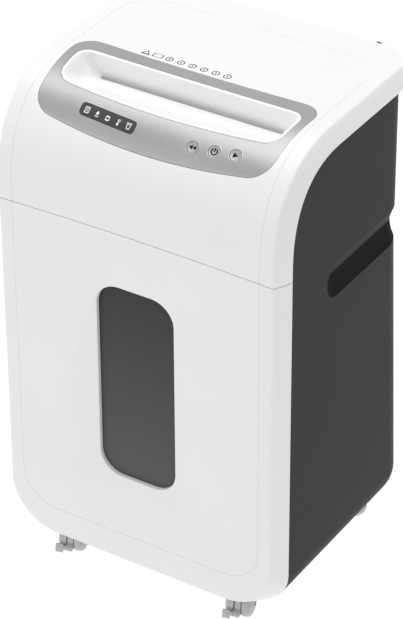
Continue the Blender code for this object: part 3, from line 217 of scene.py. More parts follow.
CASTER_PLASTIC = material("caster_nylon", (0.49, 0.49, 0.495), 0.36, grain=(700, 0.00003),
                          spread=0.05, tint=0.03)
STEEL = material("hard_steel", (0.44, 0.44, 0.45), 0.30, metallic=1.0, grain=(400, 0.00003),
                 spread=0.08, tint=0.08)
ZINC = material("zinc_sheet", (0.60, 0.61, 0.60), 0.40, metallic=1.0, grain=(120, 0.00002),
                spread=0.10, tint=0.10)
BRONZE = material("oiled_bronze", (0.50, 0.32, 0.14), 0.38, metallic=1.0, spread=0.08, tint=0.10)
NYLON = material("natural_nylon", (0.78, 0.76, 0.70), 0.46, grain=(500, 0.00003), spread=0.05, tint=0.03)
BLACK = material("black_nylon", (0.022, 0.022, 0.023), 0.42, grain=(900, 0.00005), spread=0.05, tint=0.08)
GRIP_RUBBER = material("grip_rubber", (0.014, 0.014, 0.014), 0.75, specular=0.05, grain=(1400, 0.00008),
                       spread=0.04, tint=0.08)
BOARD = material("green_board", (0.02, 0.13, 0.05), 0.42, coat=0.3, spread=0.05, tint=0.15)



def paint_shade_by_height(mat, low_z, high_z, low_color, high_color):
    """Paint shade into a material's colour by height above the floor."""
    tree = mat.node_tree
    place = tree.nodes.new("ShaderNodeTexCoord")
    split = tree.nodes.new("ShaderNodeSeparateXYZ")
    rise = tree.nodes.new("ShaderNodeMapRange")
    rise.inputs["From Min"].default_value = low_z
    rise.inputs["From Max"].default_value = high_z
    ramp = tree.nodes.new("ShaderNodeValToRGB")
    ramp.color_ramp.elements[0].color = (*low_color, 1)
    ramp.color_ramp.elements[1].color = (*high_color, 1)
    tree.links.new(place.outputs["Object"], split.inputs["Vector"])
    tree.links.new(split.outputs["Z"], rise.inputs["Value"])
    tree.links.new(rise.outputs["Result"], ramp.inputs["Fac"])
    tree.links.new(ramp.outputs["Color"], tree.nodes["Principled BSDF"].inputs["Base Color"])


# Painted shade: the smoked window is coloured lighter at the bottom and darker at the top, standing for the
# shade in the deeper top of the dish.
paint_shade_by_height(SMOKE, WINDOW_LOW, WINDOW_HIGH, (0.094, 0.094, 0.095), (0.041, 0.041, 0.042))

BY_SLOT = {"white_shell": WHITE, "dark_panel": DARK, "silver_trim": SILVER, "lens": LENS,
           "smoked_window": SMOKE, "bin_plastic": BIN_PLASTIC, "button": CAP, "steel": STEEL,
           "zinc_plate": ZINC, "bronze": BRONZE, "nylon_gear": NYLON, "black_plastic": BLACK,
           "circuit_board": BOARD, "caster_plastic": CASTER_PLASTIC}
for part in frame["record"]["subparts"]:
    node = nodes[part["node"]]
    for slot in node.material_slots:
        slot.material = BY_SLOT[part["material_slot"]]


# ---------------------------------------------------------------- mesh helpers
def make(name, verts, faces, mat, smooth=35.0):
    mesh = bpy.data.meshes.new(name)
    mesh.from_pydata([tuple(v) for v in verts], [], faces)
    obj = bpy.data.objects.new(name, mesh)
    bpy.context.scene.collection.objects.link(obj)
    return tidy(obj, mat, smooth)


def tidy(obj, mat, smooth=35.0):
    """Merge doubles, point normals out, give the one material and smooth shading."""
    work = bmesh.new()
    work.from_mesh(obj.data)
    bmesh.ops.remove_doubles(work, verts=work.verts, dist=2e-6)
    bmesh.ops.dissolve_degenerate(work, edges=work.edges, dist=2e-6)
    bmesh.ops.recalc_face_normals(work, faces=work.faces)
    work.to_mesh(obj.data)
    work.free()
    obj.data.materials.clear()
    if mat:
        obj.data.materials.append(mat)
    obj.data.shade_smooth()
    obj.data.set_sharp_from_angle(angle=math.radians(smooth))
    return obj


def loft(name, loops, mat=None, ring=False, smooth=35.0):
    """Skin through equal loops: capped at both ends, or closed into a ring."""
    count = len(loops[0])
    verts = [v for loop in loops for v in loop]
    faces = []
    for row in range(len(loops) if ring else len(loops) - 1):
        low = row * count
        high = ((row + 1) % len(loops)) * count
        for i in range(count):
            j = (i + 1) % count
            faces.append((low + i, low + j, high + j, high + i))
    if not ring:
        faces.append(tuple(range(count)))
        faces.append(tuple(range((len(loops) - 1) * count, len(loops) * count)))
    return make(name, verts, faces, mat, smooth)


def place(axis, a, b, height):
    if axis == "X":
        return Vector((height, a, b))
    if axis == "Y":
        return Vector((a, height, b))
    return Vector((a, b, height))


def prism(name, outline, axis, low, high, mat=None):
    return loft(name, [[place(axis, a, b, h) for a, b in outline] for h in (low, high)], mat)


def box(name, low, high, mat=None):
    return prism(name, rectangle(low[0], low[1], high[0], high[1]), "Z", low[2], high[2], mat)


def rectangle(a_low, b_low, a_high, b_high):
    return [(a_low, b_low), (a_high, b_low), (a_high, b_high), (a_low, b_high)]


def circle(a, b, radius, segments):
    return [(a + radius * math.cos(2 * math.pi * k / segments),
             b + radius * math.sin(2 * math.pi * k / segments)) for k in range(segments)]


def rod(name, center, radius, low, high, segments, mat=None, axis="X"):
    return prism(name, circle(center[0], center[1], radius, segments), axis, low, high, mat)


def boolean(obj, tool, operation, self_cross=False):
    modifier = obj.modifiers.new(operation, "BOOLEAN")
    modifier.operation = operation
    modifier.solver = "EXACT"
    modifier.use_self = self_cross
    modifier.object = tool
    bpy.context.view_layer.update()
    graph = bpy.context.evaluated_depsgraph_get()
    result = bpy.data.meshes.new_from_object(obj.evaluated_get(graph))
    obj.modifiers.clear()
    obj.data = result
    bpy.data.objects.remove(tool, do_unlink=True)
    return obj


def cut(obj, tool):
    return boolean(obj, tool, "DIFFERENCE")


def join(obj, tool):
    return boolean(obj, tool, "UNION")


def keep(obj, tool):
    return boolean(obj, tool, "INTERSECT")


def mirrored(source, name):
    mesh = source.data.copy()
    mesh.transform(Matrix.Diagonal((-1, 1, 1, 1)))
    mesh.flip_normals()
    other = bpy.data.objects.new(name, mesh)
    bpy.context.scene.collection.objects.link(other)
    return other


def attach(obj, body, slot, *replaced):
    """Let a piece ride on a body and stand for CAD nodes; the slot argument is not used."""
    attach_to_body(obj, body)
    if replaced:
        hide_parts(*replaced)
    return obj


# ---------------------------------------------------------------- arch geometry
def arch_points(inset_front, inset_top, steps=56):
    points = []
    for k in range(steps + 1):
        turn = (math.pi / 2) * k / steps
        points.append((FRONT_Y + ARCH_A - (ARCH_A - inset_front) * math.cos(turn) ** (2 / ARCH_N),
                       ARCH_Z + (ARCH_B - inset_top) * math.sin(turn) ** (2 / ARCH_N)))
    return points


def arch_table(steps=480):
    table = []
    run = 0.0
    previous = None
    for y, z in arch_points(0.0, 0.0, steps):
        point = Vector((y, z))
        if previous:
            run += (point - previous).length
        table.append((run, point))
        previous = point
    return table


ARCH_TABLE = arch_table()


def on_arch(x, run, depth=0.0):
    """World point at x and a length run up the arch, sunk by depth below the surface."""
    total, end = ARCH_TABLE[-1]
    if run >= total:
        return Vector((x, end.x + run - total, end.y - depth))
    k = 1
    while ARCH_TABLE[k][0] < run:
        k += 1
    run_a, a = ARCH_TABLE[k - 1]
    run_b, b = ARCH_TABLE[k]
    point = a.lerp(b, (run - run_a) / (run_b - run_a))
    along = (b - a).normalized()
    return Vector((x, point.x + along.y * depth, point.y - along.x * depth))


def arch_normal(run):
    return (on_arch(0, run) - on_arch(0, run, 0.001)).normalized()


def arc(cx, cy, radius, start, count):
    return [(cx + radius * math.cos(start + math.pi / 2 * k / count),
             cy + radius * math.sin(start + math.pi / 2 * k / count)) for k in range(1, count + 1)]


def panel_loop(half, front, back, bow_front, bow_back, r_front, r_back, half_front):
    """Closed outline on the arch as (x, run): straight back, bowed front, round corners."""
    edge, corner, side = 28, 12, 6
    x_low = half_front - r_front
    z_low = front + bow_front * x_low ** 2 + r_front
    z_top = back - r_back + bow_back * (half - r_back) ** 2
    loop = []
    for k in range(edge + 1):
        x = (half - r_back) * (1 - 2 * k / edge)
        loop.append((x, back + bow_back * x * x))
    loop += arc(-(half - r_back), z_top, r_back, math.pi / 2, corner)
    x_a, z_a = loop[-1]
    for k in range(1, side + 1):
        t = k / side
        loop.append((x_a + (-half_front - x_a) * t, z_a + (z_low - z_a) * t))
    loop += arc(-x_low, z_low, r_front, math.pi, corner)
    for k in range(1, edge + 1):
        x = x_low * (-1 + 2 * k / edge)
        loop.append((x, front + bow_front * x * x))
    loop += arc(x_low, z_low, r_front, -math.pi / 2, corner)
    for k in range(1, side + 1):
        t = k / side
        loop.append((half_front + (half - half_front) * t, z_low + (z_top - z_low) * t))
    return loop + arc(half - r_back, z_top, r_back, 0.0, corner)[:-1]


def grown(spec, amount):
    half, front, back, bow_f, bow_b, r_f, r_b, half_f = spec
    return panel_loop(half + amount, front - amount, back + amount, bow_f, bow_b,
                      r_f + amount, r_b + amount, half_f + amount)


def blend_loops(loop_a, loop_b, t):
    return [((1 - t) * ax + t * bx, (1 - t) * ay + t * by) for (ax, ay), (bx, by) in zip(loop_a, loop_b)]


def smooth_gap(loop, passes=2):
    """Even out the corners of an outline, so that its curvature has no steps."""
    for _ in range(passes):
        count = len(loop)
        loop = [((loop[k - 1][0] + 2 * loop[k][0] + loop[(k + 1) % count][0]) / 4,
                 (loop[k - 1][1] + 2 * loop[k][1] + loop[(k + 1) % count][1]) / 4) for k in range(count)]
    return loop


def lens_line(x):
    return 0.332 * W + 0.22 / W * x * x


def button_line(x):
    return 0.326 * W + 0.245 / W * x * x


def seam_height(x):
    return SEAM_Z + SEAM_RISE * max(0.0, 1 - (x / HALF_FACE) ** 2)


# ---------------------------------------------------------------- lid
def band_profile():
    """(distance out from the crease, share of the band's depth), crease rounded."""
    points = [(-0.0024, 0.0)]
    for t in (0.25, 0.5, 0.75, 1.0):
        points.append((-0.0024 * (1 - t) ** 2 + 0.0012 * t * t, 0.100 * t * t))
    reach = HALF_BODY - HALF_FACE
    for out in (0.25, 0.4, 0.55, 0.7, 0.85, 1.0):
        points.append((out * reach, 0.84 * out + 0.16 * out ** 3))
    return points


def ribbon(name, stations, rear, floor, steps=56):
    loops = []
    for x, inset_front, inset_top in stations:
        low = floor(x)
        loop = [Vector((x, FRONT_Y + inset_front, low))]
        loop += [Vector((x, y, z)) for y, z in arch_points(inset_front, inset_top, steps)]
        loop.append(Vector((x, rear, TOP_Z - inset_top)))
        loop.append(Vector((x, rear, low)))
        loops.append(loop)
    return loft(name, loops)


def plan_outline(half, front, rear, radius, steps=16):
    points = [(-half, front), (half, front)]
    points += [(half - radius + radius * math.cos(math.pi / 2 * k / steps),
                rear - radius + radius * math.sin(math.pi / 2 * k / steps)) for k in range(steps + 1)]
    points += [(-half + radius - radius * math.cos(math.pi / 2 * (1 - k / steps)),
                rear - radius + radius * math.sin(math.pi / 2 * (1 - k / steps))) for k in range(steps + 1)]
    return points


def outer_stations():
    right = [(HALF_FACE + out, drop * BAND, drop * BAND_TOP) for out, drop in reversed(band_profile())]
    right += [(x * HALF_FACE, 0.0, 0.0) for x in (0.75, 0.5, 0.25, 0.0)]
    return right + [(-x, f, t) for x, f, t in reversed(right[:-1])]


def inner_stations():
    right = [(HALF_BODY - WALL, BAND + WALL, BAND_TOP + WALL),
             (HALF_FACE + 0.5 * (HALF_BODY - HALF_FACE) - WALL, 0.43 * BAND + WALL, 0.43 * BAND_TOP + WALL),
             (HALF_FACE - WALL, WALL, WALL), (0.0, WALL, WALL)]
    return right + [(-x, f, t) for x, f, t in reversed(right[:-1])]


def groove(name, path, closed=False):
    """A fine V-shaped tool along (point, outward normal) stations."""
    loops = []
    count = len(path)
    for k, (point, normal) in enumerate(path):
        ahead = path[min(k + 1, count - 1)][0]
        behind = path[max(k - 1, 0)][0]
        side = normal.cross(ahead - behind).normalized()
        loops.append([point + side * 0.0011 + normal * 0.0006, point + side * 0.00022 - normal * 0.00055,
                      point - side * 0.00022 - normal * 0.00055, point - side * 0.0011 + normal * 0.0006])
    return loft(name, loops, ring=closed)


def lid_line():
    """Stations of the fine line up one side of the lid, round its back and down the other."""
    total = ARCH_TABLE[-1][0]
    end_y = ARCH_TABLE[-1][1].x
    last = total + (LINE_BACK - LINE_R) - end_y
    path = [(on_arch(-LINE_X, 0.0) + Vector((0, 0, SEAM_Z - ARCH_Z - 0.004)), arch_normal(0.0002))]
    runs = [0.0005] + [total * k / 60 for k in range(1, 60)] + [total + 0.002, last]
    side = [(on_arch(-LINE_X, run), arch_normal(run) if run < total else Vector((0, 0, 1))) for run in runs]
    path += side
    for k in range(1, 13):
        turn = math.pi / 2 * k / 12
        path.append((Vector((-LINE_X + LINE_R * (1 - math.cos(turn)),
                             LINE_BACK - LINE_R + LINE_R * math.sin(turn), TOP_Z)), Vector((0, 0, 1))))
    return path + [(Vector((-p.x, p.y, p.z)), n) for p, n in reversed(path)]


def arch_plug(name, loop, depth_low, depth_high):
    center_run = sum(run for _, run in loop) / len(loop)
    rows = [loop] + [[(x * t, center_run + (run - center_run) * t) for x, run in loop]
                     for t in (0.85, 0.7, 0.55, 0.4, 0.25, 0.1)]
    top = [[on_arch(x, run, depth_low) for x, run in row] for row in rows]
    low = [[on_arch(x, run, depth_high) for x, run in row] for row in rows]
    return loft(name, list(reversed(top)) + low)


def build_lid():
    """White lid: an arched shell, open below, with the trim opening, fine line and gland hole."""
    cover = ribbon("lid_shell", outer_stations(), LID_Y + 0.02, lambda x: seam_height(x) + FIT / 2)
    plan = plan_outline(HALF_BODY, FRONT_Y - 0.01, LID_Y, REAR_R)
    keep(cover, prism("plan", plan, "Z", SEAM_Z - 0.05, TOP_Z + 0.01))
    inner = ribbon("inner", inner_stations(), LID_Y + 0.02, lambda x: SEAM_Z - 0.02, 24)
    inner_plan = plan_outline(HALF_BODY, FRONT_Y - 0.01, LID_Y - WALL, REAR_R - WALL, 8)
    keep(inner, prism("inner_plan", inner_plan, "Z", SEAM_Z - 0.05, TOP_Z + 0.01))
    cut(cover, inner)
    below = [(HALF_BODY + 0.02, BAND, BAND_TOP), (-HALF_BODY - 0.02, BAND, BAND_TOP)]
    cut(cover, ribbon("below", below, LID_Y + 0.03, lambda x: SEAM_Z - 0.02))
    cut(cover, arch_plug("opening", smooth_gap(grown(TRIM_OUTER, GAP)), -0.006, 0.010))
    cut(cover, groove("line", lid_line()))
    cut(cover, rod("gland_hole", INLET, INLET_R + GAP, LID_Y - 0.02, LID_Y + 0.02, 40, axis="Y"))
    tidy(cover, WHITE, 28.0)
    attach(cover, "cabinet", "white_shell", "head_cover")


def build_seam_shadow():
    """Dark strip in the joint between lid and drawer: painted shadow standing for the shaded gap."""
    loops = []
    for x, drop, _ in outer_stations():
        z = seam_height(x)
        near, far = FRONT_Y + drop + 0.0002, FRONT_Y + drop + 0.0024
        loops.append([Vector((x, y, z + h)) for y, h in ((near, -SEAM_SHADOW_HALF), (far, -SEAM_SHADOW_HALF),
                                                         (far, SEAM_SHADOW_HALF), (near, SEAM_SHADOW_HALF))])
    attach(loft("seam_shadow_strip", loops[1:-1], BLACK), "cabinet", "black_plastic")


def build_marks():
    """Row of generic outline marks printed on the lid behind the trim: no signs and no lettering."""
    triangle = [(0.0, 0.55), (-0.6, -0.45), (0.6, -0.45)]
    frame_mark = rectangle(-0.68, -0.42, 0.68, 0.42)
    dash = rectangle(-0.06, -0.24, 0.06, 0.24)
    marks = []
    for k in range(MARK_COUNT):
        spot = (Vector((MARK_X + MARK_STEP * k, MARK_Y, TOP_Z)), Vector((1, 0, 0)), Vector((0, 1, 0)),
                Vector((0, 0, 1)))
        outline, hollow = ((triangle, 0.6), (frame_mark, 0.82))[k] if k < 2 else (circle(0, 0, 0.5, 24), 0.76)
        marks.append(ring_shape("mark", scaled(outline, MARK_SIZE), scaled(outline, MARK_SIZE * hollow),
                                spot, PRINT_T, INK))
        if k > 1:
            marks.append(flat_shape("mark", scaled(dash, MARK_SIZE), spot, PRINT_T, INK))
    attach(merge("lid_marks", marks), "cabinet", "white_shell")


def build_trim():
    """Silver trim with holes for the lens and the three buttons."""
    outer = smooth_gap(grown(TRIM_OUTER, 0.0))
    inner = smooth_gap(grown(TRIM_INNER, 0.0))
    rows = [(0.0, 0.0026), (0.0, 0.0006), (0.004, 0.0002), (0.014, 0.0)]
    rows += [(t / 14, 0.0) for t in range(1, 14)]
    rows += [(0.986, 0.0), (0.996, 0.0002), (1.0, 0.0006), (1.0, 0.0026)]
    loops = [[on_arch(x, run, depth) for x, run in blend_loops(outer, inner, t)] for t, depth in rows]
    trim = loft("trim_ring", loops, ring=True)
    cut(trim, lens_plug("lens_hole", GAP / 2, -0.004, 0.008))
    for x in BUTTON_X:
        cut(trim, button_disc("button_hole", x, [(BUTTON_R + GAP, -0.006), (BUTTON_R + GAP, 0.010)]))
    tidy(trim, SILVER, 28.0)
    attach(trim, "cabinet", "silver_trim", "control_trim")


# ---------------------------------------------------------------- controls
def lens_loop(grow):
    middle = (LENS_LEFT + LENS_RIGHT) / 2
    half = (LENS_RIGHT - LENS_LEFT) / 2 + grow
    tall = LENS_HALF + grow
    radius = LENS_R + grow
    loop = []
    for sx, sy, start in ((1, 1, 0), (-1, 1, 90), (-1, -1, 180), (1, -1, 270)):
        for k in range(11):
            turn = math.radians(start + 90 * k / 10)
            x = middle + sx * (half - radius) + radius * math.cos(turn)
            loop.append((x, lens_line(x) + sy * (tall - radius) + radius * math.sin(turn)))
    return loop


def lens_plug(name, grow, depth_low, depth_high):
    return loft(name, [[on_arch(x, run, d) for x, run in lens_loop(grow)] for d in (depth_low, depth_high)])


def button_frame(x):
    run = button_line(x)
    normal = arch_normal(run)
    across = Vector((1, 0, 0))
    return on_arch(x, run), across, normal.cross(across), normal


def button_disc(name, x, profile, mat=None, ring=False, segments=48):
    """A solid round a button's axis from (radius, depth below the surface) pairs."""
    center, across, up, normal = button_frame(x)
    loops = [[center - normal * depth + across * a + up * b for a, b in circle(0, 0, r, segments)]
             for r, depth in profile]
    return loft(name, loops, mat, ring=ring)


def flat_shape(name, outline, spot, thickness, mat):
    """A thin printed shape: (a, b) outline set on a (centre, across, up, normal) frame."""
    center, across, up, normal = spot
    loops = [[center + normal * h + across * a + up * b for a, b in outline] for h in (-0.0001, thickness)]
    return loft(name, loops, mat)


def ring_shape(name, outer, inner, spot, thickness, mat):
    """A printed line between two outlines of equal length."""
    center, across, up, normal = spot
    loops = []
    for outline, h in ((outer, -0.0001), (outer, thickness), (inner, thickness), (inner, -0.0001)):
        loops.append([center + normal * h + across * a + up * b for a, b in outline])
    return loft(name, loops, mat, ring=True)


def scaled(outline, factor, shift=(0.0, 0.0)):
    return [(a * factor + shift[0], b * factor + shift[1]) for a, b in outline]


def merge(name, objects):
    """One object from several, with the first one's material."""
    work = bmesh.new()
    for obj in objects:
        work.from_mesh(obj.data)
    mesh = bpy.data.meshes.new(name)
    work.to_mesh(mesh)
    work.free()
    mesh.materials.append(objects[0].data.materials[0])
    merged = bpy.data.objects.new(name, mesh)
    bpy.context.scene.collection.objects.link(merged)
    for obj in objects:
        bpy.data.objects.remove(obj, do_unlink=True)
    mesh.shade_smooth()
    mesh.set_sharp_from_angle(angle=math.radians(35))
    return merged


def symbol(kind, spot, size, mat):
    """Generic signs for the controls, drawn as thin raised print."""
    triangle = [(-0.45, -0.5), (0.55, 0.0), (-0.45, 0.5)]
    parts = []

    def fill(outline, shift=0.0):
        parts.append(flat_shape("sign", scaled(outline, size, (shift * size, 0)), spot, SIGN_T, mat))

    def line(outer, inner):
        parts.append(ring_shape("sign", outer, inner, spot, SIGN_T, mat))

    def bow(radius, start, stop, step, hollow, sign=1):
        points = [(radius * math.cos(math.radians(a)), radius * math.sin(math.radians(a)))
                  for a in range(start, stop, step)]
        inside = [(a * hollow, b * hollow) for a, b in reversed(points)]
        fill([(a * sign, b * sign) for a, b in points + inside])

    if kind == "forward":
        fill(triangle)
    if kind == "reverse":
        for shift in (-0.42, 0.42):
            fill([(-a * 0.8, b * 0.9) for a, b in triangle], shift)
        fill(rectangle(-0.98, -0.42, -0.86, 0.42))
    if kind == "power":
        bow(0.5, 125, 416, 10, 0.64)
        fill(rectangle(-0.09, 0.02, 0.09, 0.62))
    if kind == "sheet":
        page = rectangle(-0.4, -0.5, 0.4, 0.5)
        line(scaled(page, size), scaled(page, size * 0.74))
        for b in (-0.18, 0.02, 0.22):
            fill(rectangle(-0.2, b - 0.04, 0.2, b + 0.04))
    if kind == "stack":
        fill([(0.0, 0.5), (-0.34, 0.05), (-0.12, 0.05), (-0.12, -0.15), (0.12, -0.15), (0.12, 0.05),
              (0.34, 0.05)])
        fill(rectangle(-0.34, -0.4, 0.34, -0.28))
    if kind == "turn":
        for sign in (-1, 1):
            bow(0.42, 15, 166, 15, 0.5, sign)
    if kind == "heat":
        fill(rectangle(-0.09, -0.2, 0.09, 0.5))
        fill(circle(0, -0.3, 0.19, 16))
        for b in (0.1, 0.28, 0.44):
            fill(rectangle(0.18, b - 0.035, 0.36, b + 0.035))
    if kind == "bin":
        cup = [(-0.26, -0.5), (0.26, -0.5), (0.38, 0.28), (-0.38, 0.28)]
        hollow = [(-0.17, -0.38), (0.17, -0.38), (0.25, 0.18), (-0.25, 0.18)]
        line(scaled(cup, size), scaled(hollow, size))
        fill(rectangle(-0.46, 0.38, 0.46, 0.5))
    return parts


def build_controls():
    """Lens with its rim and signs, and the three buttons with their rings and signs."""
    lens_rows = [(-0.0, 0.0026), (-0.0, 0.0004), (-0.0003, 0.0001), (-0.0010, 0.00005)]
    loops = [[on_arch(x, run, depth) for x, run in lens_loop(grow)] for grow, depth in lens_rows]
    lens = loft("lens_pane", loops)
    tidy(lens, LENS, 28.0)
    attach(lens, "cabinet", "lens", "indicator_lens")
    rim_loops = [[on_arch(x, run, depth) for x, run in lens_loop(grow)]
                 for grow, depth in ((0.0007, 0.0003), (0.0006, -0.00012), (0.0001, -0.00012), (0.0, 0.0003))]
    attach(loft("lens_rim", rim_loops, RING, ring=True), "cabinet", "silver_trim")
    signs = []
    for k, kind in enumerate(("sheet", "stack", "turn", "heat", "bin")):
        x = LENS_LEFT + (LENS_RIGHT - LENS_LEFT) * (0.12 + 0.19 * k)
        run = lens_line(x)
        normal = arch_normal(run)
        spot = (on_arch(x, run, 0.00005), Vector((1, 0, 0)), normal.cross(Vector((1, 0, 0))), normal)
        signs += symbol(kind, spot, 0.0071, INK_LIGHT)
    attach(merge("lens_signs", signs), "cabinet", "lens")
    names = ("reverse_button", "power_button", "forward_button")
    kinds = ("reverse", "power", "forward")
    for name, kind, x, size in zip(names, kinds, BUTTON_X, (0.0054, 0.0082, 0.0058)):
        dish = [(0.0024, 0.0080), (0.0024, 0.0045), (BUTTON_R - 0.0001, 0.0045), (BUTTON_R - 0.0001, 0.0003),
                (BUTTON_R - 0.0003, 0.00005), (BUTTON_R - 0.0008, 0.0), (BUTTON_R - 0.0016, 0.00012),
                (BUTTON_R * 0.5, 0.00035), (0.0004, 0.0004)]
        cap = button_disc(name + "_cap", x, dish, CAP)
        attach(cap, name, "button", name)
        center, across, up, normal = button_frame(x)
        spot = (center - normal * 0.0003, across, up, normal)
        attach(merge(name + "_sign", symbol(kind, spot, size, INK)), name, "button")
        ring = [(BUTTON_R + 0.0011, 0.0003), (BUTTON_R + 0.0010, -0.00010), (BUTTON_R + 0.0007, -0.00018),
                (BUTTON_R + 0.0004, -0.00010), (BUTTON_R + 0.0003, 0.0003)]
        attach(button_disc(name + "_ring", x, ring, RING, ring=True), "cabinet", "silver_trim")


def slot_loop(grow):
    radius = 0.0030 + grow
    spec = (SLOT_HALF + grow, -radius, radius, 0.0, 0.0, radius * 0.95, radius * 0.95, SLOT_HALF + grow)
    return [(x, SLOT_Y + 0.0004 + y) for x, y in panel_loop(*spec)]


def build_throat():
    """White funnel: a rolled lip, a long front ramp, scooped ends and a steep back wall."""
    rim = smooth_gap(grown(TRIM_INNER, -GAP))
    lip = smooth_gap(grown(TRIM_INNER, -0.0020))
    lip_in = smooth_gap(grown(TRIM_INNER, -0.0036))
    mouth = [Vector((x, y, SLOT_Z)) for x, y in slot_loop(0.0)]
    start = [on_arch(x, run, 0.0012) for x, run in lip_in]
    loops = [[on_arch(x, run, 0.0030) for x, run in rim], [on_arch(x, run, 0.0006) for x, run in rim],
             [on_arch(x, run, 0.0002) for x, run in blend_loops(rim, lip, 0.35)],
             [on_arch(x, run, 0.0003) for x, run in lip], start]
    for k in range(1, 12):
        t = k / 12
        sag = -0.0030 * math.sin(math.pi * t) ** 1.5
        loops.append([a.lerp(b, t) + Vector((0, 0, sag)) for a, b in zip(start, mouth)])
    loops.append([p + Vector((0, 0, 0.0006)) for p in mouth])
    loops += [[Vector((x, y, SLOT_Z - 0.0006)) for x, y in slot_loop(0.0)],
              [Vector((x, y, SLOT_Z - 0.016)) for x, y in slot_loop(0.0)],
              [Vector((x, y, SLOT_Z - 0.016)) for x, y in slot_loop(0.0018)],
              [Vector((x, y, SLOT_Z - 0.0060)) for x, y in slot_loop(0.0018)]]
    low = [Vector((x, y, SLOT_Z - 0.0060)) for x, y in slot_loop(0.0018)]
    under = [on_arch(x, run, 0.0042) for x, run in lip]
    for t in (0.25, 0.5, 0.75):
        sag = -0.0030 * math.sin(math.pi * t) ** 1.5
        loops.append([b.lerp(a, t) + Vector((0, 0, sag)) for a, b in zip(under, low)])
    loops.append(under)
    throat = loft("feed_funnel", loops, FUNNEL_WHITE_LIGHTENED, ring=True, smooth=40.0)
    attach(throat, "cabinet", "white_shell", "feed_throat")


# ---------------------------------------------------------------- cabinet
def body_outer(inset):
    levels = []
    radius = BODY_CORNER_R - inset
    bottom = GROUND + inset
    for k in range(17):
        turn = (math.pi / 2) * k / 16
        levels.append((bottom + radius * (1 - math.cos(turn)),
                       HALF_BODY - inset - radius + radius * math.sin(turn)))
    for k in range(1, 9):
        levels.append((bottom + radius + (FLARE_TOP_Z - bottom - radius) * k / 8, HALF_BODY - inset))
    levels.append((TOP_Z, HALF_BODY - inset))
    loops = []
    for z, half in levels:
        flare = (FLARE_TOP_Z - z) / (FLARE_TOP_Z - GROUND) if z < FLARE_TOP_Z else 0.0
        rear = BODY_REAR_TOP + (BODY_REAR_LOW - BODY_REAR_TOP) * flare - inset
        rear -= max(0.0, 0.020 - (z - bottom)) * 0.6
        front = BODY_FRONT_Y + FIT + (inset - 0.002 if inset else 0.0)
        plan = plan_outline(half, front, rear, BODY_REAR_R - inset)
        loops.append([Vector((x, y, z)) for x, y in plan])
    return loft("body_solid", loops)


def grip_path(run):
    if run < GRIP_FLAT:
        return Vector((HALF_BODY, GRIP_FRONT_Y + run)), Vector((1, 0))
    turn = (run - GRIP_FLAT) / BODY_REAR_R
    normal = Vector((math.cos(turn), math.sin(turn)))
    return Vector((HALF_BODY - BODY_REAR_R, CORNER_Y)) + normal * BODY_REAR_R, normal


def grip_runs():
    ends = [GRIP_HALF * (1 - math.cos(math.pi / 2 * k / 14)) for k in range(15)]
    ends[0] = 0.00015
    corner = [GRIP_FLAT + (GRIP_LENGTH - GRIP_HALF - GRIP_FLAT) * k / 10 for k in range(10)]
    return ends + corner + [GRIP_LENGTH - run for run in reversed(ends)]


def grip_loft(name, section, mat=None):
    loops = []
    for run in grip_runs():
        near = min(run, GRIP_LENGTH - run)
        share = 1.0 if near >= GRIP_HALF else math.sqrt(1 - (1 - near / GRIP_HALF) ** 2)
        point, normal = grip_path(run)
        loop = []
        for out, height in section:
            reach = out if out > 0 else out * (0.25 + 0.75 * share)
            spot = point + normal * reach
            loop.append(Vector((spot.x, spot.y, GRIP_Z + height * share)))
        loops.append(loop)
    return loft(name, loops, mat)


def curve_through(points, steps=6):
    """Smooth points through a short list, ends kept (Catmull-Rom)."""
    full = [points[0]] + list(points) + [points[-1]]
    out = []
    for k in range(1, len(full) - 2):
        p0, p1, p2, p3 = (Vector(full[k + j]) for j in (-1, 0, 1, 2))
        for s in range(steps):
            t = s / steps
            out.append(tuple(0.5 * ((2 * p1) + (p2 - p0) * t + (2 * p0 - 5 * p1 + 4 * p2 - p3) * t * t
                                    + (3 * p1 - p0 - 3 * p2 + p3) * t ** 3)))
    return out + [tuple(points[-1])]


D, H = GRIP_DEPTH, GRIP_HALF
GRIP_SLOPE = [(0.0004, H + 0.0006), (-0.0003, H)] + curve_through([(-0.001, 0.95 * H), (-0.5 * D, 0.68 * H),
                                                                  (-D, GRIP_EDGE)], 4)
GRIP_FLOOR = curve_through([(-D, GRIP_EDGE - GAP), (-D, 0.15 * H), (-0.80 * D, -0.30 * H),
                            (-0.45 * D, -0.70 * H), (-0.05 * D, -H + GAP)], 4)


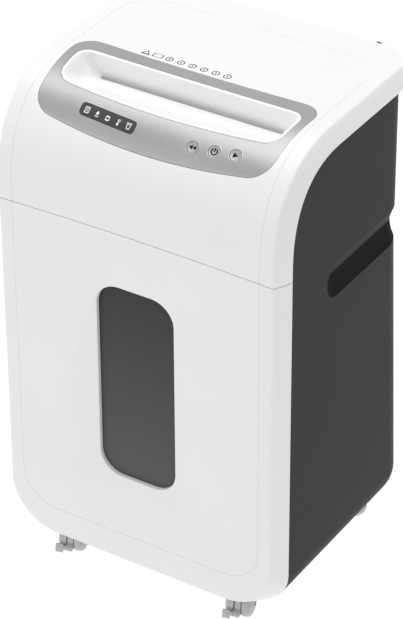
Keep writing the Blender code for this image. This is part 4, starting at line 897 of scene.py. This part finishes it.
def build_panels():
    """Charcoal side shells with grip recesses, and their dark liners."""
    arch = [(HALF_BODY + 0.02, BAND + FIT, BAND_TOP + FIT), (-HALF_BODY - 0.02, BAND + FIT, BAND_TOP + FIT)]
    shell = body_outer(0.0)
    keep(shell, ribbon("under_lid", arch, LID_Y + 0.03, lambda x: GROUND - 0.02))
    cut(shell, body_outer(WALL))
    keep(shell, box("right", (SPLIT_X + GAP / 2, -1, 0), (1, 1, 1)))
    for stem in (CASTER_FRONT, CASTER_REAR):
        join(shell, rod("boss", stem, 0.009, GROUND + 0.001, GROUND + 0.016, 32, axis="Z"))
        cut(shell, rod("socket", stem, 0.0043, GROUND - 0.01, GROUND + 0.0135, 24, axis="Z"))
    deep = GRIP_DEPTH + INLAY_T + WALL
    backing = [(-0.0008, H + WALL), (-deep, GRIP_EDGE + WALL), (-deep, -0.10 * H),
               (-0.55 * deep, -0.90 * H - WALL), (-0.0008, -H - 1.5 * WALL)]
    boolean(shell, grip_loft("backing", backing), "UNION", True)
    floor = [(out - INLAY_T - GAP, height) for out, height in GRIP_FLOOR]
    section = [(0.010, H + 0.0006)] + GRIP_SLOPE + floor[1:-1] + [(-0.0006, -H), (0.010, -H - 0.0004)]
    boolean(shell, grip_loft("grip", section), "DIFFERENCE", True)
    tidy(shell, DARK, 32.0)
    shell.name = "side_shell_right"
    left = mirrored(shell, "side_shell_left")
    attach(shell, "cabinet", "dark_panel", "side_panel_right")
    attach(left, "cabinet", "dark_panel", "side_panel_left")
    back = [(out - INLAY_T, height) for out, height in reversed(GRIP_FLOOR)]
    inlay = grip_loft("grip_liner_right", GRIP_FLOOR + back, GRIP_RUBBER)
    other = mirrored(inlay, "grip_liner_left")
    attach(inlay, "cabinet", "black_plastic", "grip_inlay_right")
    attach(other, "cabinet", "black_plastic", "grip_inlay_left")


# ---------------------------------------------------------------- bin drawer
def cup_outline(half, bottom, top, radius, steps=18):
    points = [(half, top)]
    points += [(half - radius + radius * math.cos(math.pi / 2 * k / steps),
                bottom + radius - radius * math.sin(math.pi / 2 * k / steps)) for k in range(steps + 1)]
    points += [(-half + radius - radius * math.cos(math.pi / 2 * (1 - k / steps)),
                bottom + radius - radius * math.sin(math.pi / 2 * (1 - k / steps))) for k in range(steps + 1)]
    points.append((-half, top))
    return points


def front_loop(y, out, thickness=0.0, share=0.0):
    """Outline of the white front: out is metres past the crease, share how far to the band's edge."""
    half = HALF_FACE + out - thickness
    radius = CORNER_R + share * (BODY_CORNER_R - CORNER_R) - thickness
    low = GROUND + thickness + max(0.0, -out) * 0.5
    loop = [Vector((x, y, z)) for x, z in cup_outline(half, low, SEAM_Z, radius)]
    steps = 24
    top = [Vector((half * (-1 + 2 * k / steps), y, 0.0)) for k in range(steps + 1)]
    for point in top:
        point.z = seam_height(point.x) - FIT / 2 + thickness / 3
    return loop[1:-1] + top


def round_rect(half, low, high, radius, steps=14):
    points = []
    for sx, cz, start in ((1, high - radius, 0), (-1, high - radius, 90), (-1, low + radius, 180),
                          (1, low + radius, 270)):
        for k in range(steps + 1):
            turn = math.radians(start + 90 * k / steps)
            points.append((sx * (half - radius) + radius * math.cos(turn), cz + radius * math.sin(turn)))
    return points


def window_outline(grow):
    return round_rect(WINDOW_HALF + grow, WINDOW_LOW - grow, WINDOW_HIGH + grow, WINDOW_R + grow)


def build_drawer():
    """White drawer front with the window opening and the fine line."""
    reach = HALF_BODY - HALF_FACE
    loops = [front_loop(FRONT_Y + drop * BAND, out, 0.0, max(0.0, out / reach))
             for out, drop in band_profile()]
    shell = loft("drawer_shell", loops)
    hollow = [front_loop(FRONT_Y + WALL + drop * BAND, out + WALL, WALL, max(0.0, (out + WALL) / reach))
              for out, drop in ((0.0 - WALL, 0.0), (0.5 * reach - WALL, 0.43), (reach - WALL, 1.01))]
    cut(shell, loft("hollow", hollow))
    join(shell, prism("collar", window_outline(0.0025), "Y", FRONT_Y + 0.001, FRONT_Y + WINDOW_RETURN))
    flare = [(0.0016, -0.0010), (0.0011, 0.0), (0.0005, 0.0003), (0.0001, 0.0008), (0.0, 0.0015), (0.0, 0.02)]
    opening = loft("opening", [[Vector((x, FRONT_Y + y, z)) for x, z in window_outline(g)] for g, y in flare])
    cut(shell, opening)
    cut(shell, groove("line", front_line()))
    tidy(shell, WHITE, 28.0)
    attach(shell, "bin_drawer", "white_shell", "drawer_front")


def front_line():
    """Stations of the fine line down one side of the front, across its foot and up again."""
    radius = LINE_X - 0.325 * W
    normal = Vector((0, -1, 0))
    outline = cup_outline(LINE_X, LINE_LOW, SEAM_Z + 0.004, radius, 24)
    path = [(Vector((x, FRONT_Y, z)), normal) for x, z in outline]
    return path


def build_window():
    """Smoked dish behind the opening: rounded where its sloping back meets the sides."""
    slope = (DISH_HIGH - DISH_LOW) / (WINDOW_HIGH - WINDOW_LOW)
    front = FRONT_Y + WINDOW_RETURN + GAP

    def row(grow, depth, back_share):
        loop = []
        for x, z in window_outline(grow):
            back = FRONT_Y + DISH_LOW + slope * (z - WINDOW_LOW)
            loop.append(Vector((x, front + (back - front) * back_share + depth, z)))
        return loop

    rows = [row(0.0018, 0.0, 0.0), row(-0.0004, 0.0, 0.0)]
    rows += [row(-0.0004, -0.004, 1.0), row(-0.0006, -0.0026, 1.0), row(-0.0012, -0.0014, 1.0),
             row(-0.0022, -0.0006, 1.0), row(-0.0040, 0.0, 1.0)]
    rows += [row(-0.0120, 0.0, 1.0), row(-0.0240, 0.0, 1.0)]
    rows += [row(-0.0240, 0.0020, 1.0), row(0.0018, 0.0020, 1.0)]
    pane = loft("window_dish", rows, ring=False)
    tidy(pane, SMOKE, 40.0)
    attach(pane, "bin_drawer", "smoked_window", "drawer_window")


# ---------------------------------------------------------------- cutters
def disc_outline(center, turn):
    """Cross-cut disc with three hooked teeth."""
    points = []
    for tooth in range(3):
        base = turn + tooth * 2 * math.pi / 3
        for angle, share in TOOTH:
            points.append((center[0] + DISC_R * share * math.cos(base + angle),
                           center[1] + DISC_R * share * math.sin(base + angle)))
    return points


def build_cutters():
    """Two cutter shafts with toothed discs."""
    for name, body, center, offset, end in (
            ("cutter_shaft_front", "cutter_front", FRONT_SHAFT, 0.0, FRONT_SHAFT_END),
            ("cutter_shaft_rear", "cutter_rear", REAR_SHAFT, DISC_PITCH / 2, REAR_SHAFT_END)):
        parts = [rod("journal", center, JOURNAL_R, -FRAME_X - 0.004, end, 32, STEEL),
                 rod("core", center, CORE_R, -FRAME_X + 0.0015, FRAME_X - 0.0015, 40, STEEL)]
        for k in range(DISC_COUNT):
            x = (k - (DISC_COUNT - 1) / 2) * DISC_PITCH + offset
            for half in (-1, 1):
                outline = disc_outline(center, 0.45 * k + 0.25 * half)
                low = x - DISC_T / 2 if half < 0 else x + 0.0003
                parts.append(prism("disc", outline, "X", low, low + DISC_T / 2 - 0.0003, STEEL))
        attach(merge(name + "_toothed", parts), body, "steel", name)


# ---------------------------------------------------------------- casters
def seat(obj, spot):
    x, y, turn = spot
    obj.data.transform(Matrix.Translation((x, y, 0)) @ Matrix.Rotation(turn, 4, "Z"))
    return obj


def rounded_prism(name, outline, low, high, bevel, mat):
    """Prism along X with its end edges rounded by insetting the outline."""
    cx = sum(a for a, b in outline) / len(outline)
    cy = sum(b for a, b in outline) / len(outline)
    reach = max(math.hypot(a - cx, b - cy) for a, b in outline)
    rows = [(1 - bevel / reach * (1 - math.sin(share * math.pi / 2)),
             bevel * (1 - math.cos(share * math.pi / 2))) for share in (0.0, 0.3, 0.65, 1.0)]

    def row(x, shrink):
        return [Vector((x, cx + (a - cx) * shrink, cy + (b - cy) * shrink)) for a, b in outline]

    loops = [row(low + depth, shrink) for shrink, depth in rows]
    loops += [row(high - depth, shrink) for shrink, depth in reversed(rows)]
    return loft(name, loops, mat)


def build_wheel(name, spot, side):
    """Moulded wheel: a narrow flat tread with eased edges and a domed outer face round the axle."""
    axle = (-TRAIL, WHEEL_R)
    profile = [(0.0023, WHEEL_IN), (WHEEL_R - 0.0008, WHEEL_IN), (WHEEL_R - 0.0002, WHEEL_IN + 0.0002),
               (WHEEL_R, WHEEL_IN + 0.0008)]
    for k in range(15):
        turn = math.pi / 2 * k / 15
        profile.append((WHEEL_R * math.cos(turn) ** (2 / 2.4),
                        WHEEL_EDGE + (WHEEL_OUT - WHEEL_EDGE) * math.sin(turn) ** (2 / 2.4)))
    profile += [(0.0030, WHEEL_OUT), (0.0023, WHEEL_OUT - 0.0003)]
    loops = []
    for k in range(64):
        angle = 2 * math.pi * k / 64
        loops.append([Vector((side * h, axle[0] + r * math.cos(angle), axle[1] + r * math.sin(angle)))
                      for r, h in profile])
    wheel = loft("tyre", loops, CASTER_PLASTIC, ring=True, smooth=40.0)
    wheel.name = name + "_detailed"
    return seat(wheel, spot)


def build_hood(name, spot, brake):
    """Hood between the wheels, with its collar and stem; the front ones carry a pedal lug."""
    rounded = [(-TRAIL + HOOD_R * math.cos(math.radians(a)), WHEEL_R + HOOD_R * math.sin(math.radians(a)))
               for a in range(120, 391, 6)]
    outline = [(0.0080, GROUND - 0.0020), (-0.0100, GROUND - 0.0020)]
    outline += [(y, max(z, 0.0022)) for y, z in rounded]
    hood = rounded_prism("hood", outline, -HOOD_HALF, HOOD_HALF, 0.0008, CASTER_PLASTIC)
    join(hood, rod("collar", (0, 0), 0.0085, GROUND - 0.0050, GROUND - 0.0012, 40, axis="Z"))
    join(hood, rod("stem", (0, 0), 0.0040, GROUND - 0.0030, GROUND + 0.0115, 32, axis="Z"))
    cut(hood, rod("axle_hole", (-TRAIL, WHEEL_R), 0.0023, -0.02, 0.02, 24))
    if brake:
        y, z = PEDAL
        join(hood, box("lug", (-HOOD_HALF, y, z - 0.0030), (HOOD_HALF, -TRAIL - 0.010, z + 0.0030)))
        join(hood, rod("lug_end", PEDAL, 0.0030, -HOOD_HALF, HOOD_HALF, 32))
        cut(hood, rod("pin_hole", PEDAL, 0.0011 + GAP, -HOOD_HALF - 0.01, -0.0005, 20))
    tidy(hood, CASTER_PLASTIC, 32.0)
    hood.name = name + "_detailed"
    return seat(hood, spot)


def build_pedal(name, spot):
    """Brake pedal in front of the left-hand wheel, on a round hub with its pin."""
    py, pz = PEDAL
    plate = [(py + 0.0012, pz + 0.0040), (py - 0.0002, pz + 0.0045), (py - 0.0012, pz + 0.0042),
             (py - 0.0036, pz - 0.0030), (py - 0.0038, pz - 0.0044), (py - 0.0030, pz - 0.0052),
             (py - 0.0006, pz - 0.0048), (py + 0.0016, pz - 0.0012)]
    end = -HOOD_HALF - GAP
    pedal = rounded_prism("plate", plate, PEDAL_OUT, end - 0.0028, 0.0005, CASTER_PLASTIC)
    join(pedal, rod("hub", PEDAL, 0.0026, PEDAL_OUT + 0.0020, end, 32))
    join(pedal, rod("pin", PEDAL, 0.0011, end - 0.001, -0.0010, 20))
    tidy(pedal, CASTER_PLASTIC, 32.0)
    pedal.name = name + "_detailed"
    return seat(pedal, spot)


def build_casters():
    """Four casters; the front two have brake pedals."""
    for label, (side, x, y, degrees) in CASTERS.items():
        spot = (side * x, y, math.radians(degrees))
        brake = label.startswith("front")
        attach(build_hood("caster_hood_" + label, spot, brake), "caster_" + label, "caster_plastic",
               "caster_hood_" + label)
        for letter, hand in (("a", -1), ("b", 1)):
            node = "caster_wheel_%s_%s" % (letter, label)
            attach(build_wheel(node, spot, hand), "wheel_%s_%s" % (letter, label), "caster_plastic", node)
        if brake:
            attach(build_pedal("brake_pedal_" + label, spot), "pedal_" + label, "caster_plastic",
                   "brake_pedal_" + label)


# ---------------------------------------------------------------- studio
def build_studio():
    """White stage, even world light and two area lights."""
    floor = make("studio_floor", [(-6, -6, 0), (6, -6, 0), (6, 6, 0), (-6, 6, 0)], [(0, 1, 2, 3)], None)
    stage = bpy.data.materials.new("studio_white")
    stage.use_nodes = True
    shader = stage.node_tree.nodes["Principled BSDF"]
    shader.inputs["Base Color"].default_value = (0.08, 0.08, 0.08, 1)
    shader.inputs["Roughness"].default_value = 0.9
    shader.inputs["Emission Color"].default_value = (1, 1, 1, 1)
    shader.inputs["Emission Strength"].default_value = 0.98
    floor.data.materials.append(stage)
    world = bpy.data.worlds.new("studio")
    world.use_nodes = True
    world.node_tree.nodes["Background"].inputs["Color"].default_value = (1, 1, 1, 1)
    world.node_tree.nodes["Background"].inputs["Strength"].default_value = 0.615
    bpy.context.scene.world = world
    bpy.context.scene.view_settings.view_transform = "Standard"
    for name, spot, size, power in (("key", (-1.9, -2.6, 1.6), 2.2, 12), ("top", (-0.4, 0.3, 3.2), 2.6, 50)):
        light = bpy.data.lights.new(name, "AREA")
        light.energy = power
        light.size = size
        lamp = bpy.data.objects.new(name, light)
        lamp.location = spot
        aim = Vector((0, 0, 0.35)) - Vector(spot)
        lamp.rotation_euler = aim.to_track_quat("-Z", "Y").to_euler()
        bpy.context.scene.collection.objects.link(lamp)


def build_camera():
    """Long lens from the right front, looking down."""
    turn, tilt, roll = (math.radians(v) for v in (32.4, 33.551, -0.329))
    back = Vector((math.sin(turn) * math.cos(tilt), -math.cos(turn) * math.cos(tilt), math.sin(tilt)))
    right = Vector((math.cos(turn), math.sin(turn), 0))
    up = back.cross(right)
    right_rolled = right * math.cos(roll) + up * math.sin(roll)
    up_rolled = up * math.cos(roll) - right * math.sin(roll)
    camera_data = bpy.data.cameras.new("camera")
    camera_data.lens = 175.67
    camera_data.sensor_width = 36.0
    camera = bpy.data.objects.new("camera", camera_data)
    basis = Matrix((right_rolled, up_rolled, back)).transposed().to_4x4()
    camera.matrix_world = Matrix.Translation((1.457438, -2.314035, 2.104707)) @ basis
    bpy.context.scene.collection.objects.link(camera)
    bpy.context.scene.camera = camera


build_camera()
build_studio()
build_lid()
build_seam_shadow()
build_marks()
build_trim()
build_controls()
build_throat()
build_panels()
build_drawer()
build_window()
build_cutters()
build_casters()
